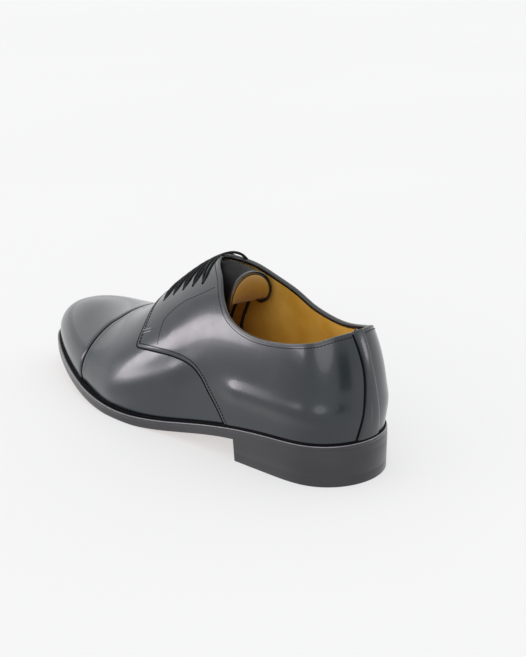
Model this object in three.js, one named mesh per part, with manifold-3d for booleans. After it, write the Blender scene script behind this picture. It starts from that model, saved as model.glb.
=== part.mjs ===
// A smooth calf derby dress shoe with a toe cap and five lace bars, for the left foot.
// Millimetres. +Y runs to the toe, +X to the wearer's right (the inner side), +Z up.
// The origin is the middle of the heel's tread, on the floor.
// The heel back of the last lies at y = 0 while the pieces are worked out, and the
// finished group is moved so that the origin falls under the heel.
import * as THREE from 'three';
import { mergeVertices } from 'three/addons/utils/BufferGeometryUtils.js';
import Module from 'manifold-3d';

const wasm = await Module();
wasm.setup();

// Driving sizes of the last
const lastLength = 301;
const heelRadius = 34;
const heelTurn = 9;
const forefootWidth = 94;
const instepHeight = 100;
const instepLean = 6;
const toeSwing = 3.6;
const toeLength = 103;
const toeDrop = 55;
const heelLift = 18.75;
const toeSpring = 15.75;
const featherTuck = 3.5;
const tuckReach = 0.5;

// Driving sizes of the sole and heel
const weltWidth = 3.5;
const weltThickness = 2.5;
const soleThickness = 3.65;
const weltInside = 9;
const edgeBevel = 0.6;
const heelBreast = 76;
const breastHollow = 2.5;
const heelTaper = 0.8;
const topPieceThickness = 5.5;
const insoleThickness = 2.4;
const insoleInset = 3;
const treadCentre = 38;

// Driving sizes of the upper, tongue and laces
const upperWall = 1.6;
const innerDepth = 2.1;
const quarterStep = 1;
const capStep = 0.9;
const stripStep = 1.6;
const stripHalfWidth = 9;
const throatX = 2.6;
const throatGap = 5;
const facingFlare = 7;
const flareLength = 17;
const flareOverrun = 1;
const tongueThickness = 2.2;
const tongueClear = 0.2;
const tongueStart = 180;
const tongueEnd = 100.5;
const archStart = 128;
const archX = 3;
const archHeight = 90;
const archRadius = 14.5;
const outerLeg = 12.5;
const innerLeg = 9;
const endRounding = 8;
const eyeletCount = 5;
const firstEyelet = 118;
const eyeletPitch = 9.3;
const eyeletRadius = 1.5;
const eyeletReach = 0.345;
const laceDiameter = 2;
const laceClear = 0.1;
const strandSpread = 1.6;

// Running gap between pieces that touch
const fit = 0.3;

const soleEdge = weltThickness + fit + soleThickness + fit;
const baseSkin = upperWall - innerDepth;
const quarterSkin = baseSkin + quarterStep;

// Half-sections of the last from the heel back to the toe tip, at equal steps along it.
// inner and outer are half widths as shares of the forefoot width, ridge is the height of
// the top line over the feather edge as a share of the instep height, lift and spring
// raise the feather edge by their shares of the heel lift and the toe spring, swing and
// lean move the toe and the top line to the inner side, and welt is the share of its width.
const sections = [
  { inner: 0.378, outer: 0.378, ridge: 0.81, lift: 1.0, spring: 0, swing: 0, lean: 0, welt: 0.57 },
  { inner: 0.383, outer: 0.383, ridge: 0.84, lift: 0.985, spring: 0, swing: 0, lean: 0, welt: 0.57 },
  { inner: 0.367, outer: 0.394, ridge: 0.89, lift: 0.94, spring: 0, swing: 0, lean: 0, welt: 0.57 },
  { inner: 0.346, outer: 0.415, ridge: 0.96, lift: 0.77, spring: 0, swing: 0, lean: 0.17, welt: 0.57 },
  { inner: 0.324, outer: 0.426, ridge: 1.0, lift: 0.45, spring: 0, swing: 0, lean: 0.5, welt: 0.63 },
  { inner: 0.351, outer: 0.463, ridge: 0.93, lift: 0.095, spring: 0, swing: 0, lean: 0.83, welt: 0.8 },
  { inner: 0.436, outer: 0.521, ridge: 0.71, lift: -0.06, spring: 0, swing: 0.06, lean: 1, welt: 0.91 },
  { inner: 0.527, outer: 0.505, ridge: 0.486, lift: 0, spring: 0.04, swing: 0.22, lean: 1, welt: 1 },
  { inner: 0.543, outer: 0.441, ridge: 0.395, lift: 0, spring: 0.32, swing: 0.44, lean: 0.67, welt: 1 },
  { inner: 0.5, outer: 0.367, ridge: 0.352, lift: 0, spring: 0.64, swing: 0.72, lean: 0.33, welt: 1 },
  { inner: 0.447, outer: 0.298, ridge: 0.31, lift: 0, spring: 1, swing: 1, lean: 0, welt: 1 },
];

// Seen from the side: along is a share of the last's length, up is the height over the
// feather edge as a share of the instep height.
const collarOuter = [
  { along: -0.02, up: 0.625 },
  { along: 0.033, up: 0.615 },
  { along: 0.066, up: 0.58 },
  { along: 0.105, up: 0.563 },
  { along: 0.15, up: 0.553 },
  { along: 0.195, up: 0.558 },
  { along: 0.24, up: 0.59 },
  { along: 0.282, up: 0.655 },
  { along: 0.312, up: 0.745 },
  { along: 0.344, up: 0.865 },
  { along: 0.383, up: 0.937 },
  { along: 0.42, up: 0.975 },
];
const collarInner = [
  { along: -0.02, up: 0.625 },
  { along: 0.033, up: 0.615 },
  { along: 0.066, up: 0.57 },
  { along: 0.1, up: 0.54 },
  { along: 0.145, up: 0.525 },
  { along: 0.185, up: 0.545 },
  { along: 0.232, up: 0.605 },
  { along: 0.276, up: 0.705 },
  { along: 0.322, up: 0.79 },
  { along: 0.366, up: 0.872 },
  { along: 0.407, up: 0.928 },
  { along: 0.425, up: 0.965 },
];
const quarterSeam = [
  { along: 0.268, up: -0.08 },
  { along: 0.281, up: 0.012 },
  { along: 0.298, up: 0.115 },
  { along: 0.319, up: 0.208 },
  { along: 0.342, up: 0.302 },
  { along: 0.372, up: 0.372 },
  { along: 0.426, up: 0.418 },
  { along: 0.489, up: 0.434 },
  { along: 0.545, up: 0.432 },
];
const facingFront = [
  { along: 0.545, up: 0.432 },
  { along: 0.546, up: 0.522 },
  { along: 0.551, up: 0.6 },
  { along: 0.566, up: 0.69 },
  { along: 0.578, up: 0.8 },
];
const capSeam = [
  { along: 0.764, up: -0.08 },
  { along: 0.758, up: 0.07 },
  { along: 0.752, up: 0.162 },
  { along: 0.745, up: 0.243 },
  { along: 0.737, up: 0.32 },
  { along: 0.727, up: 0.39 },
  { along: 0.714, up: 0.44 },
  { along: 0.706, up: 0.55 },
];

const heelArc = (heelRadius * Math.PI) / 2;
const heelToToe = heelArc + lastLength - heelRadius;

const clamp01 = (x) => Math.min(1, Math.max(0, x));
const smooth = (x) => clamp01(x) ** 2 * (3 - 2 * clamp01(x));
const softplus = (x) => heelTurn * Math.log1p(Math.exp(x / heelTurn));

// A column of the section table as a smooth curve, even across the heel back
function column(key, m) {
  const n = sections.length;
  const row = (i) => {
    if (i < 0) return sections[-i][key];
    if (i < n) return sections[i][key];
    return sections[n - 1][key] + (i - n + 1) * (sections[n - 1][key] - sections[n - 2][key]);
  };
  const t = clamp01(m / heelToToe) * (n - 1);
  const i = Math.min(Math.floor(t), n - 2);
  const f = t - i;
  const before = row(i - 1) * (1 - f) ** 3;
  const near = row(i) * (3 * f ** 3 - 6 * f ** 2 + 4);
  const far = row(i + 1) * (-3 * f ** 3 + 3 * f ** 2 + 3 * f + 1);
  return (before + near + far + row(i + 2) * f ** 3) / 6;
}

// Distance along the last of a place given by its y
const alongAt = (y) => (y < heelRadius ? (heelArc * y) / heelRadius : y - heelRadius + heelArc);
const featherZ = (m) => soleEdge + heelLift * column('lift', m) + toeSpring * column('spring', m);

// A point of the last: m along it, u from -1 at the outer feather edge over 0 at the top
// line to 1 at the inner feather edge
function lastPoint(m, u) {
  const side = u < 0 ? -1 : 1;
  const rise = clamp01(1 - Math.abs(u));
  const turn = ((Math.PI / 2) * softplus(heelArc - m)) / softplus(heelArc);
  const spineY = heelRadius + softplus(m - heelArc);
  const plan = Math.sqrt(1 - clamp01((spineY - lastLength + toeLength) / toeLength) ** 2.5);
  const profile = Math.sqrt(1 - clamp01((spineY - lastLength + toeDrop) / toeDrop) ** 2.4);
  const half = forefootWidth * column(side < 0 ? 'outer' : 'inner', m) * plan;
  const across = Math.max(0, Math.cos((rise * Math.PI) / 2)) ** 0.95;
  const up = Math.sin((rise * Math.PI) / 2) ** 0.975;
  const tuck = featherTuck * plan * Math.max(0, 1 - rise / tuckReach) ** 3;
  const reach = half * across - tuck;
  const lean = instepLean * column('lean', m) * up ** 1.5;
  return new THREE.Vector3(
    toeSwing * column('swing', m) + lean + side * reach * Math.cos(turn),
    spineY - reach * Math.sin(turn),
    featherZ(m) + instepHeight * column('ridge', m) * profile * up,
  );
}

function lastNormal(m, u) {
  if (m >= heelToToe) return new THREE.Vector3(0, 1, 0);
  const dm = Math.min(1, (heelToToe - m) / 2);
  const du = 0.01;
  const back = m < dm ? lastPoint(dm - m, u).multiply(new THREE.Vector3(-1, 1, 1)) : lastPoint(m - dm, u);
  const alongLast = lastPoint(m + dm, u).sub(back);
  const round = lastPoint(m, Math.min(1, u + du)).sub(lastPoint(m, Math.max(-1, u - du)));
  const normal = round.cross(alongLast).normalize();
  if (m === 0) normal.x = 0;
  return normal.normalize();
}

const skinPoint = (m, u, out) => lastPoint(m, u).addScaledVector(lastNormal(m, u), out);

// The feather edge seen from above, moved outwards
function edgePoint(m, side, out, z) {
  const p = lastPoint(m, side);
  const n = new THREE.Vector2(0, m === 0 ? -1 : 1);
  if (m > 0 && m < heelToToe) {
    const dm = Math.min(1, (heelToToe - m) / 2, m);
    const d = lastPoint(m + dm, side).sub(lastPoint(m - dm, side));
    n.set(side * d.y, -side * d.x).normalize();
  }
  return new THREE.Vector3(p.x + n.x * out, p.y + n.y * out, z);
}

// Stations along the last, close together round the heel and toward the toe tip
function stations(heelSteps, bodySteps, toeSteps) {
  const toeStart = heelToToe - toeDrop;
  const list = [];
  for (let i = 0; i < heelSteps; i++) list.push((heelArc * i) / heelSteps);
  for (let i = 0; i < bodySteps; i++) list.push(heelArc + ((toeStart - heelArc) * i) / bodySteps);
  for (let i = 0; i <= toeSteps; i++) list.push(toeStart + toeDrop * Math.sin((i / toeSteps) * (Math.PI / 2)));
  list[list.length - 1] = heelToToe;
  return list;
}

// Booleans
function solidOf(geometry) {
  const bare = geometry.clone();
  bare.deleteAttribute('normal');
  bare.deleteAttribute('uv');
  const merged = mergeVertices(bare, 1e-3);
  const index = merged.index.array;
  const kept = [];
  for (let i = 0; i < index.length; i += 3) {
    const [a, b, c] = [index[i], index[i + 1], index[i + 2]];
    if (a !== b && b !== c && c !== a) kept.push(a, b, c);
  }
  return new wasm.Manifold(new wasm.Mesh({
    numProp: 3,
    vertProperties: new Float32Array(merged.attributes.position.array),
    triVerts: new Uint32Array(kept),
  }));
}

function geometryOf(solid) {
  const mesh = solid.getMesh();
  const geometry = new THREE.BufferGeometry();
  geometry.setAttribute('position', new THREE.BufferAttribute(new Float32Array(mesh.vertProperties), 3));
  geometry.setIndex(Array.from(mesh.triVerts));
  return geometry;
}

// A closed skin through rows of points; each row is a closed loop with the same count.
// A row that folds to a line or a point closes the skin by itself, any other end is capped.
function loft(rows, capLast = false) {
  const count = rows[0].length;
  const flat = rows.flat().flatMap((p) => [p.x, p.y, p.z]);
  const index = [];
  for (let i = 0; i + 1 < rows.length; i++) {
    for (let j = 0; j < count; j++) {
      const a = i * count + j;
      const b = i * count + ((j + 1) % count);
      index.push(a, b, a + count, b, b + count, a + count);
    }
  }
  if (capLast) {
    const first = (rows.length - 1) * count;
    for (let j = 1; j + 1 < count; j++) index.push(first, first + j, first + j + 1);
  }
  const geometry = new THREE.BufferGeometry();
  geometry.setAttribute('position', new THREE.Float32BufferAttribute(flat, 3));
  geometry.setIndex(index);
  return solidOf(geometry);
}

// The whole last moved outwards, closed underneath, or carried down by a skirt
function lastForm(out, skirt = 0) {
  const columns = 24;
  const rows = stations(7, 16, 10).map((m) => {
    const row = [];
    for (let j = 0; j <= columns; j++) row.push(skinPoint(m, (2 * j) / columns - 1, out));
    if (skirt > 0) {
      row.unshift(row[0].clone().setZ(row[0].z - skirt));
      row.push(row[row.length - 1].clone().setZ(row[row.length - 1].z - skirt));
    }
    return row;
  });
  return loft(rows);
}

// A prism across the shoe from a shape drawn in the side view
function sideCutter(shape, fromX, toX) {
  const geometry = new THREE.ExtrudeGeometry(shape, { depth: toX - fromX, bevelEnabled: false, curveSegments: 3 });
  const turned = new THREE.Matrix4().makeBasis(
    new THREE.Vector3(0, 1, 0),
    new THREE.Vector3(0, 0, 1),
    new THREE.Vector3(1, 0, 0),
  );
  return solidOf(geometry.applyMatrix4(turned).translate(fromX, 0, 0));
}

// An upright prism from a shape drawn in plan
function planCutter(shape, fromZ, toZ) {
  const geometry = new THREE.ExtrudeGeometry(shape, { depth: toZ - fromZ, bevelEnabled: false, curveSegments: 16 });
  return solidOf(geometry.translate(0, 0, fromZ));
}

const onSide = ({ along, up }) => {
  const y = along * lastLength;
  return new THREE.Vector2(y, featherZ(alongAt(Math.max(0, y))) + up * instepHeight);
};

// Bounds that every cutter clears
const wide = forefootWidth;
const high = instepHeight * 1.5 + heelLift + soleEdge;
const behind = -heelRadius;

function shapeFrom(curves, corners) {
  const shape = new THREE.Shape();
  const start = onSide(curves[0][0]);
  shape.moveTo(start.x, start.y);
  for (const curve of curves) shape.splineThru(curve.slice(1).map(onSide));
  for (const [y, z] of corners) shape.lineTo(y, z);
  shape.closePath();
  return shape;
}

function upper() {
  const quarterShape = shapeFrom([quarterSeam, facingFront], [
    [onSide(facingFront.at(-1)).x, high],
    [behind, high],
    [behind, -soleEdge],
    [onSide(quarterSeam[0]).x, -soleEdge],
  ]);
  const capShape = shapeFrom([capSeam], [
    [onSide(capSeam.at(-1)).x, high],
    [lastLength + heelRadius, high],
    [lastLength + heelRadius, -soleEdge],
    [onSide(capSeam[0]).x, -soleEdge],
  ]);

  const half = throatGap / 2;
  const flareEnd = onSide(facingFront.at(-1)).x + flareOverrun;
  const throatEnd = flareEnd - flareLength;
  const facingGap = new THREE.Shape();
  facingGap.moveTo(throatX - half, archStart - 4 * facingFlare);
  facingGap.lineTo(throatX - half, throatEnd);
  facingGap.quadraticCurveTo(throatX - half, flareEnd, throatX - half - facingFlare, flareEnd);
  facingGap.lineTo(throatX + half + facingFlare, flareEnd);
  facingGap.quadraticCurveTo(throatX + half, flareEnd, throatX + half, throatEnd);
  facingGap.lineTo(throatX + half, archStart - 4 * facingFlare);
  facingGap.closePath();

  const throat = new THREE.Shape();
  throat.moveTo(throatX - half, tongueEnd);
  throat.lineTo(throatX - half, throatEnd - half);
  throat.absarc(throatX, throatEnd - half, half, Math.PI, 0, true);
  throat.lineTo(throatX + half, tongueEnd);
  throat.closePath();

  const strip = new THREE.Shape();
  strip.moveTo(-stripHalfWidth, behind);
  strip.lineTo(stripHalfWidth, behind);
  strip.lineTo(stripHalfWidth, heelRadius / 2);
  strip.lineTo(-stripHalfWidth, heelRadius / 2);
  strip.closePath();

  const quarters = lastForm(quarterSkin)
    .intersect(sideCutter(quarterShape, -wide, wide))
    .subtract(planCutter(facingGap, soleEdge, high));
  const cap = lastForm(baseSkin + capStep).intersect(sideCutter(capShape, -wide, wide));
  const back = lastForm(baseSkin + stripStep).intersect(planCutter(strip, -soleEdge, high));
  let body = lastForm(baseSkin).add(quarters).add(cap).add(back);

  const collarEnd = (curve) => [[onSide(curve.at(-1)).x, high], [onSide(curve[0]).x, high]];
  body = body
    .subtract(lastForm(-innerDepth, soleEdge))
    .subtract(sideCutter(shapeFrom([collarOuter], collarEnd(collarOuter)), -wide, throatX + fit))
    .subtract(sideCutter(shapeFrom([collarInner], collarEnd(collarInner)), throatX - fit, wide))
    .subtract(planCutter(throat, archHeight / 2, high));
  for (let i = 0; i < eyeletCount; i++) {
    for (const side of [-1, 1]) body = body.subtract(eyeletDrill(i, side));
  }
  return geometryOf(largestOf(body));
}

// The one body that is the piece, without crumbs left by the cutters
function largestOf(solid) {
  return solid.decompose().sort((a, b) => b.volume() - a.volume())[0];
}

const eyeletAlong = (i) => alongAt(firstEyelet + i * eyeletPitch);

function eyeletDrill(i, side) {
  const m = eyeletAlong(i);
  const u = side * eyeletReach;
  const length = 4 * (innerDepth + quarterStep);
  const drill = new THREE.CylinderGeometry(eyeletRadius, eyeletRadius, length, 10);
  const turned = new THREE.Quaternion().setFromUnitVectors(new THREE.Vector3(0, 1, 0), lastNormal(m, u));
  const middle = lastPoint(m, u);
  return solidOf(drill.applyQuaternion(turned).translate(middle.x, middle.y, middle.z));
}

// Flat layers under the last: welt, outsole and insole. Each section has bevelled edges.
function layer(out, top, bottom, bevel) {
  const rows = stations(10, 18, 14).map((m) => {
    const reach = out(m);
    const ring = (side) => [
      edgePoint(m, side, reach - bevel, bottom(m)),
      edgePoint(m, side, reach, bottom(m) + bevel),
      edgePoint(m, side, reach, top(m) - bevel),
      edgePoint(m, side, reach - bevel, top(m)),
    ];
    return [...ring(-1), ...ring(1).reverse()];
  });
  return loft(rows);
}

const weltOut = (m) => weltWidth * column('welt', m);
const weltTop = (m) => featherZ(m) - fit;
const soleTop = (m) => weltTop(m) - weltThickness - fit;
// The tread side of the outsole, with its flat spot on the floor under the ball
const soleBottom = (m) => Math.max(0, featherZ(m) - soleEdge);

function welt() {
  const ring = layer(weltOut, weltTop, (m) => weltTop(m) - weltThickness, edgeBevel);
  const hole = layer(() => -weltInside, (m) => weltTop(m) + weltThickness, (m) => weltTop(m) - 2 * weltThickness, 0);
  return geometryOf(ring.subtract(hole));
}

const outsole = () => geometryOf(layer(weltOut, soleTop, soleBottom, edgeBevel));

const insole = () => geometryOf(
  layer(() => -insoleInset, (m) => featherZ(m) + insoleThickness, featherZ, edgeBevel),
);

// The heel follows the sole's edge, narrows to the floor and has a hollow breast
function heelStack() {
  const last = alongAt(heelBreast + 2 * breastHollow + heelTurn);
  const rows = stations(12, 40, 1).filter((m) => m < last).map((m) => {
    const topZ = soleBottom(m) - fit;
    return [
      edgePoint(m, -1, weltOut(m) - heelTaper, 0),
      edgePoint(m, -1, weltOut(m), topZ),
      edgePoint(m, 1, weltOut(m), topZ),
      edgePoint(m, 1, weltOut(m) - heelTaper, 0),
    ];
  });
  const shape = new THREE.Shape();
  shape.moveTo(-wide, behind);
  shape.lineTo(wide, behind);
  const hollow = breastHollow * (wide / heelRadius) ** 2;
  const deepest = heelBreast - breastHollow;
  shape.lineTo(wide, deepest + hollow);
  shape.quadraticCurveTo(0, deepest - hollow, -wide, deepest + hollow);
  shape.closePath();
  return loft(rows, true).intersect(planCutter(shape, -soleEdge, high));
}

function slab(fromZ, toZ) {
  const geometry = new THREE.BoxGeometry(2 * wide, 2 * lastLength, toZ - fromZ);
  return solidOf(geometry.translate(0, 0, (fromZ + toZ) / 2));
}

const heelBlock = () => geometryOf(heelStack().intersect(slab(topPieceThickness + fit, high)));
const heelTopPiece = () => geometryOf(heelStack().intersect(slab(-soleEdge, topPieceThickness)));

// The tongue lies under the facings and then closes into a narrow arch behind them.
// s runs from its root under the vamp to its free end, w across it.
function tonguePoint(s, w) {
  const end = tongueEnd + endRounding * w ** 6;
  const y = tongueStart + (end - tongueStart) * s;
  const spread = 0.3 + 0.14 * smooth(2 * s);
  const under = innerDepth + fit + tongueThickness / 2 + tongueClear;
  const flat = skinPoint(alongAt(y), w * spread, -under);
  const leg = w < 0 ? outerLeg : innerLeg;
  const round = (archRadius * Math.PI) / 2;
  const run = Math.abs(w) * (round + leg);
  const angle = Math.min(run, round) / archRadius;
  const arch = new THREE.Vector3(
    archX + Math.sign(w) * archRadius * Math.sin(angle),
    y,
    archHeight + archRadius * Math.cos(angle) - Math.max(0, run - round),
  );
  return flat.lerp(arch, smooth((archStart - y) / (archStart - tongueEnd)));
}

function tongue() {
  const steps = 20;
  const across = 12;
  const step = 0.01;
  const rows = [];
  for (let i = 0; i <= steps; i++) {
    const s = i / steps;
    const top = [];
    const bottom = [];
    for (let j = 0; j <= across; j++) {
      const w = (2 * j) / across - 1;
      const ds = tonguePoint(Math.min(1, s + step), w).sub(tonguePoint(Math.max(0, s - step), w));
      const dw = tonguePoint(s, Math.min(1, w + step)).sub(tonguePoint(s, Math.max(-1, w - step)));
      const normal = ds.cross(dw).normalize();
      top.push(tonguePoint(s, w).addScaledVector(normal, tongueThickness / 2));
      bottom.push(tonguePoint(s, w).addScaledVector(normal, -tongueThickness / 2));
    }
    rows.push([...top, ...bottom.reverse()]);
  }
  return geometryOf(sheetFrom(rows));
}

// A thick sheet from rows that hold its top points and then its bottom points backwards
function sheetFrom(rows) {
  const count = rows[0].length;
  const half = count / 2;
  const flat = rows.flat().flatMap((p) => [p.x, p.y, p.z]);
  const index = [];
  for (let i = 0; i + 1 < rows.length; i++) {
    for (let j = 0; j < count; j++) {
      const a = i * count + j;
      const b = i * count + ((j + 1) % count);
      index.push(a, a + count, b, b, a + count, b + count);
    }
  }
  const last = (rows.length - 1) * count;
  for (let j = 0; j + 1 < half; j++) {
    const opposite = count - 1 - j;
    index.push(j, j + 1, opposite, j + 1, opposite - 1, opposite);
    index.push(last + j, last + opposite, last + j + 1, last + j + 1, last + opposite, last + opposite - 1);
  }
  const geometry = new THREE.BufferGeometry();
  geometry.setAttribute('position', new THREE.Float32BufferAttribute(flat, 3));
  geometry.setIndex(index);
  return solidOf(geometry);
}

// A lace bar: two strands that leave one eyelet together, part a little and meet again
function laceBar(i) {
  const steps = 10;
  const clear = quarterSkin + fit + laceDiameter / 2 + laceClear;
  const strand = (spread) => {
    const points = [];
    for (let k = 0; k <= steps; k++) {
      const share = k / steps;
      const u = eyeletReach * (2 * share - 1);
      points.push(skinPoint(eyeletAlong(i) + spread * Math.sin(share * Math.PI), u, clear));
    }
    const path = new THREE.CatmullRomCurve3(points);
    const section = new THREE.Shape().absarc(0, 0, laceDiameter / 2, 0, 2 * Math.PI);
    return solidOf(new THREE.ExtrudeGeometry(section, {
      steps: 12,
      extrudePath: path,
      curveSegments: 4,
      bevelEnabled: false,
    }));
  };
  return geometryOf(strand(-strandSpread).add(strand(strandSpread)));
}

// The two lace ends, tucked in on the inner side, leave from under the tongue's inner edge
// and hang down the lining to the insole.
const laceEndRoute = [
  [20.8, 121.3, 82.6],
  [21.1, 122.1, 80.2],
  [21.4, 123.2, 77.4],
  [21.6, 124.6, 74.4],
  [21.8, 126.4, 71.2],
  [22.0, 128.4, 67.8],
  [22.3, 130.6, 64.2],
  [22.8, 132.8, 60.2],
  [23.5, 134.8, 55.8],
  [24.3, 136.4, 51.0],
  [25.0, 137.5, 46.0],
  [25.5, 138.0, 40.8],
  [25.6, 138.0, 35.4],
  [25.3, 137.5, 30.0],
  [24.6, 136.7, 24.8],
  [23.6, 135.8, 19.8],
];
const laceEndShift = { rear: [0, 0, 0], front: [2.1, 15.5, -6.2] };

function laceEnd(shift) {
  const route = laceEndRoute.map((p) => new THREE.Vector3(...p).add(new THREE.Vector3(...shift)));
  const section = new THREE.Shape().absarc(0, 0, laceDiameter / 2, 0, 2 * Math.PI);
  return new THREE.ExtrudeGeometry(section, {
    steps: 15,
    extrudePath: new THREE.CatmullRomCurve3(route),
    curveSegments: 4,
    bevelEnabled: false,
  });
}

const finish = {
  calf: new THREE.MeshStandardMaterial({ color: 0x1c1d20, roughness: 0.35, metalness: 0 }),
  edge: new THREE.MeshStandardMaterial({ color: 0x17181a, roughness: 0.45, metalness: 0 }),
  rubber: new THREE.MeshStandardMaterial({ color: 0x121213, roughness: 0.7, metalness: 0 }),
  lining: new THREE.MeshStandardMaterial({ color: 0xc8923a, roughness: 0.6, metalness: 0 }),
  lace: new THREE.MeshStandardMaterial({ color: 0x0c0c0d, roughness: 0.6, metalness: 0 }),
};

const shoe = new THREE.Group();
shoe.position.y = -treadCentre;

function addPiece(name, geometry, material) {
  const mesh = new THREE.Mesh(geometry, material);
  mesh.name = name;
  shoe.add(mesh);
}

addPiece('outsole', outsole(), finish.edge);
addPiece('welt', welt(), finish.edge);
addPiece('heel_block', heelBlock(), finish.edge);
addPiece('heel_top_piece', heelTopPiece(), finish.rubber);
addPiece('insole', insole(), finish.lining);
addPiece('upper', upper(), finish.calf);
addPiece('tongue', tongue(), finish.calf);
for (let i = 0; i < eyeletCount; i++) addPiece(`lace_bar_${i + 1}`, laceBar(i), finish.lace);

for (const end in laceEndShift) addPiece(`lace_end_${end}`, laceEnd(laceEndShift[end]), finish.lace);

export default shoe;
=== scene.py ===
# Left derby dress shoe in smooth black calf, with a toe cap, open facings, five lace bars
# and a tan leather lining. Sizes are millimetres, in the frame of the last: y runs from the
# heel back to the toe, x to the inner side, z up from the floor. to_frame turns them into
# metres from the middle of the heel's tread.
import math

import bpy
import numpy as np
from mathutils import Matrix, Vector


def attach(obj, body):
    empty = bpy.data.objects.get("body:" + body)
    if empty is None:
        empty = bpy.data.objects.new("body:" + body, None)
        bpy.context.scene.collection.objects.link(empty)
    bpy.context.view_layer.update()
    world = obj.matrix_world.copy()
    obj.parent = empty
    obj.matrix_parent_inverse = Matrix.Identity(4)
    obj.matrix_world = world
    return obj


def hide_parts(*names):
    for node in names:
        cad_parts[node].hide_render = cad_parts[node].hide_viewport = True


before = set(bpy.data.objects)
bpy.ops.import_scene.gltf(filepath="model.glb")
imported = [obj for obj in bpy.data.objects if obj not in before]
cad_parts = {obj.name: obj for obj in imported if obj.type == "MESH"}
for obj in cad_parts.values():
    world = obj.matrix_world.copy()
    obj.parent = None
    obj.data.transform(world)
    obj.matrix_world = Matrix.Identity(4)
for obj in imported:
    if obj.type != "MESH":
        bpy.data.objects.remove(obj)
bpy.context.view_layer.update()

# Sizes of the last
LAST_LENGTH = 301
HEEL_RADIUS = 34
HEEL_TURN = 9
FOREFOOT_WIDTH = 94
INSTEP_HEIGHT = 100
INSTEP_LEAN = 6
TOE_SWING = 3.6
TOE_LENGTH = 103
TOE_DROP = 55
HEEL_LIFT = 18.75
TOE_SPRING = 15.75
FEATHER_TUCK = 3.5
TUCK_REACH = 0.5
TOP_ROUND = 0.975
HEEL_ARC = HEEL_RADIUS * math.pi / 2
HEEL_TO_TOE = HEEL_ARC + LAST_LENGTH - HEEL_RADIUS
TREAD_CENTRE = 38

# Sizes of the sole and heel
WELT_WIDTH = 3.5
WELT_THICKNESS = 2.5
SOLE_THICKNESS = 3.65
FIT = 0.3
SOLE_EDGE = WELT_THICKNESS + SOLE_THICKNESS + 2 * FIT
HEEL_BREAST = 76
BREAST_HOLLOW = 2.5
HEEL_TAPER = 0.8
TOP_PIECE = 5.5
HEEL_BEVEL = 0.06
SOLE_CORNER = 0.06
INSOLE_INSET = 2.6
INSOLE_TOP = 2.6
INSOLE_BOTTOM = 0.4
CREASE_OUT = 0.45
CREASE_RISE = 0.25
CREASE_RADIUS = 0.9

# Sizes of the upper
VAMP_SKIN = -0.5
QUARTER_SKIN = 0.5
CAP_SKIN = 0.4
STRIP_SKIN = 1.1
LINING_SKIN = -2.1
PANEL = 0.9
THROAT_X = 2.6
THROAT_GAP = 5
FACING_FLARE = 6
FLARE_START = 152
EYELETS = 5
FIRST_EYELET = 118
EYELET_PITCH = 9.3
EYELET_RADIUS = 1.5
EYELET_REACH = 0.345
LACE = 2
TIGHT_LACE = 1.15
STRAND_SPREAD = 2.2
BOW = 1.0
FIRST_BOW = 6.5
LINING = 0.7
LINING_DROP = 1.1
LINING_FRONT = 186
VAMP_LINING_START = 168
POCKET_REACH = 33
UNDER_QUARTER = 6
UNDER_CAP = 3
VAMP_ROWS = 70
CAP_ROWS = 80
SIDES = {-1: "outer", 1: "inner"}

# The back strip: its half width at the waist, what foot and head add, and how it leans
STRIP_HALF = 4.2
STRIP_FOOT = 5.3
STRIP_HEAD = 1.8
STRIP_WAIST = 0.62
STRIP_DRIFT = 1.6
STRIP_TOP = 0.985

# Beside the cap's edge the vamp sinks and then puffs up: height, distance behind it, width
CAP_TROUGH = (0.95, 0.45, 0.8)
CAP_PUFF = (0.3, 3.2, 1.8)

# How far outside its edge the dark bottom of a seam lies
SEAM_GROOVE_OUT = 0.35
CAP_GROOVE_BACK = 0.85

# Rows of stitches: distance from the edge, then pitch, width and height of a stitch
STITCH_ROWS = {
    "seam": (2.5, 2.0, 0.8, 0.45),
    "eyestay": (0, 2.0, 0.5, 0.3),
    "collar": (-2.3, 1.9, 0.6, 0.35),
    "facing": (3.3, 2.0, 0.5, 0.3),
}
STITCH_SHARE = 0.84
TACK_RADIUS = 0.35

# Heights over the last of a strand's points in its eyelet
HOLE_STEPS = (-4.2, -2.2, -0.8, 0.4)

# Points of a rounded corner and of each line that meets in it
BEND_POINTS = 12
LINE_POINTS = 200

# Half-sections of the last at equal steps from the heel back to the toe tip
SECTIONS = {
    "inner": (0.378, 0.383, 0.367, 0.346, 0.324, 0.351, 0.436, 0.527, 0.543, 0.5, 0.447),
    "outer": (0.378, 0.383, 0.394, 0.415, 0.426, 0.463, 0.521, 0.505, 0.441, 0.367, 0.298),
    "ridge": (0.81, 0.84, 0.89, 0.96, 1.0, 0.93, 0.71, 0.486, 0.395, 0.352, 0.31),
    "lift": (1.0, 0.985, 0.94, 0.77, 0.45, 0.095, -0.06, 0, 0, 0, 0),
    "spring": (0, 0, 0, 0, 0, 0, 0, 0.04, 0.32, 0.64, 1),
    "swing": (0, 0, 0, 0, 0, 0, 0.06, 0.22, 0.44, 0.72, 1),
    "lean": (0, 0, 0, 0.17, 0.5, 0.83, 1, 1, 0.67, 0.33, 0),
    "welt": (0.57, 0.57, 0.57, 0.57, 0.63, 0.8, 0.91, 1, 1, 1, 1),
}

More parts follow.
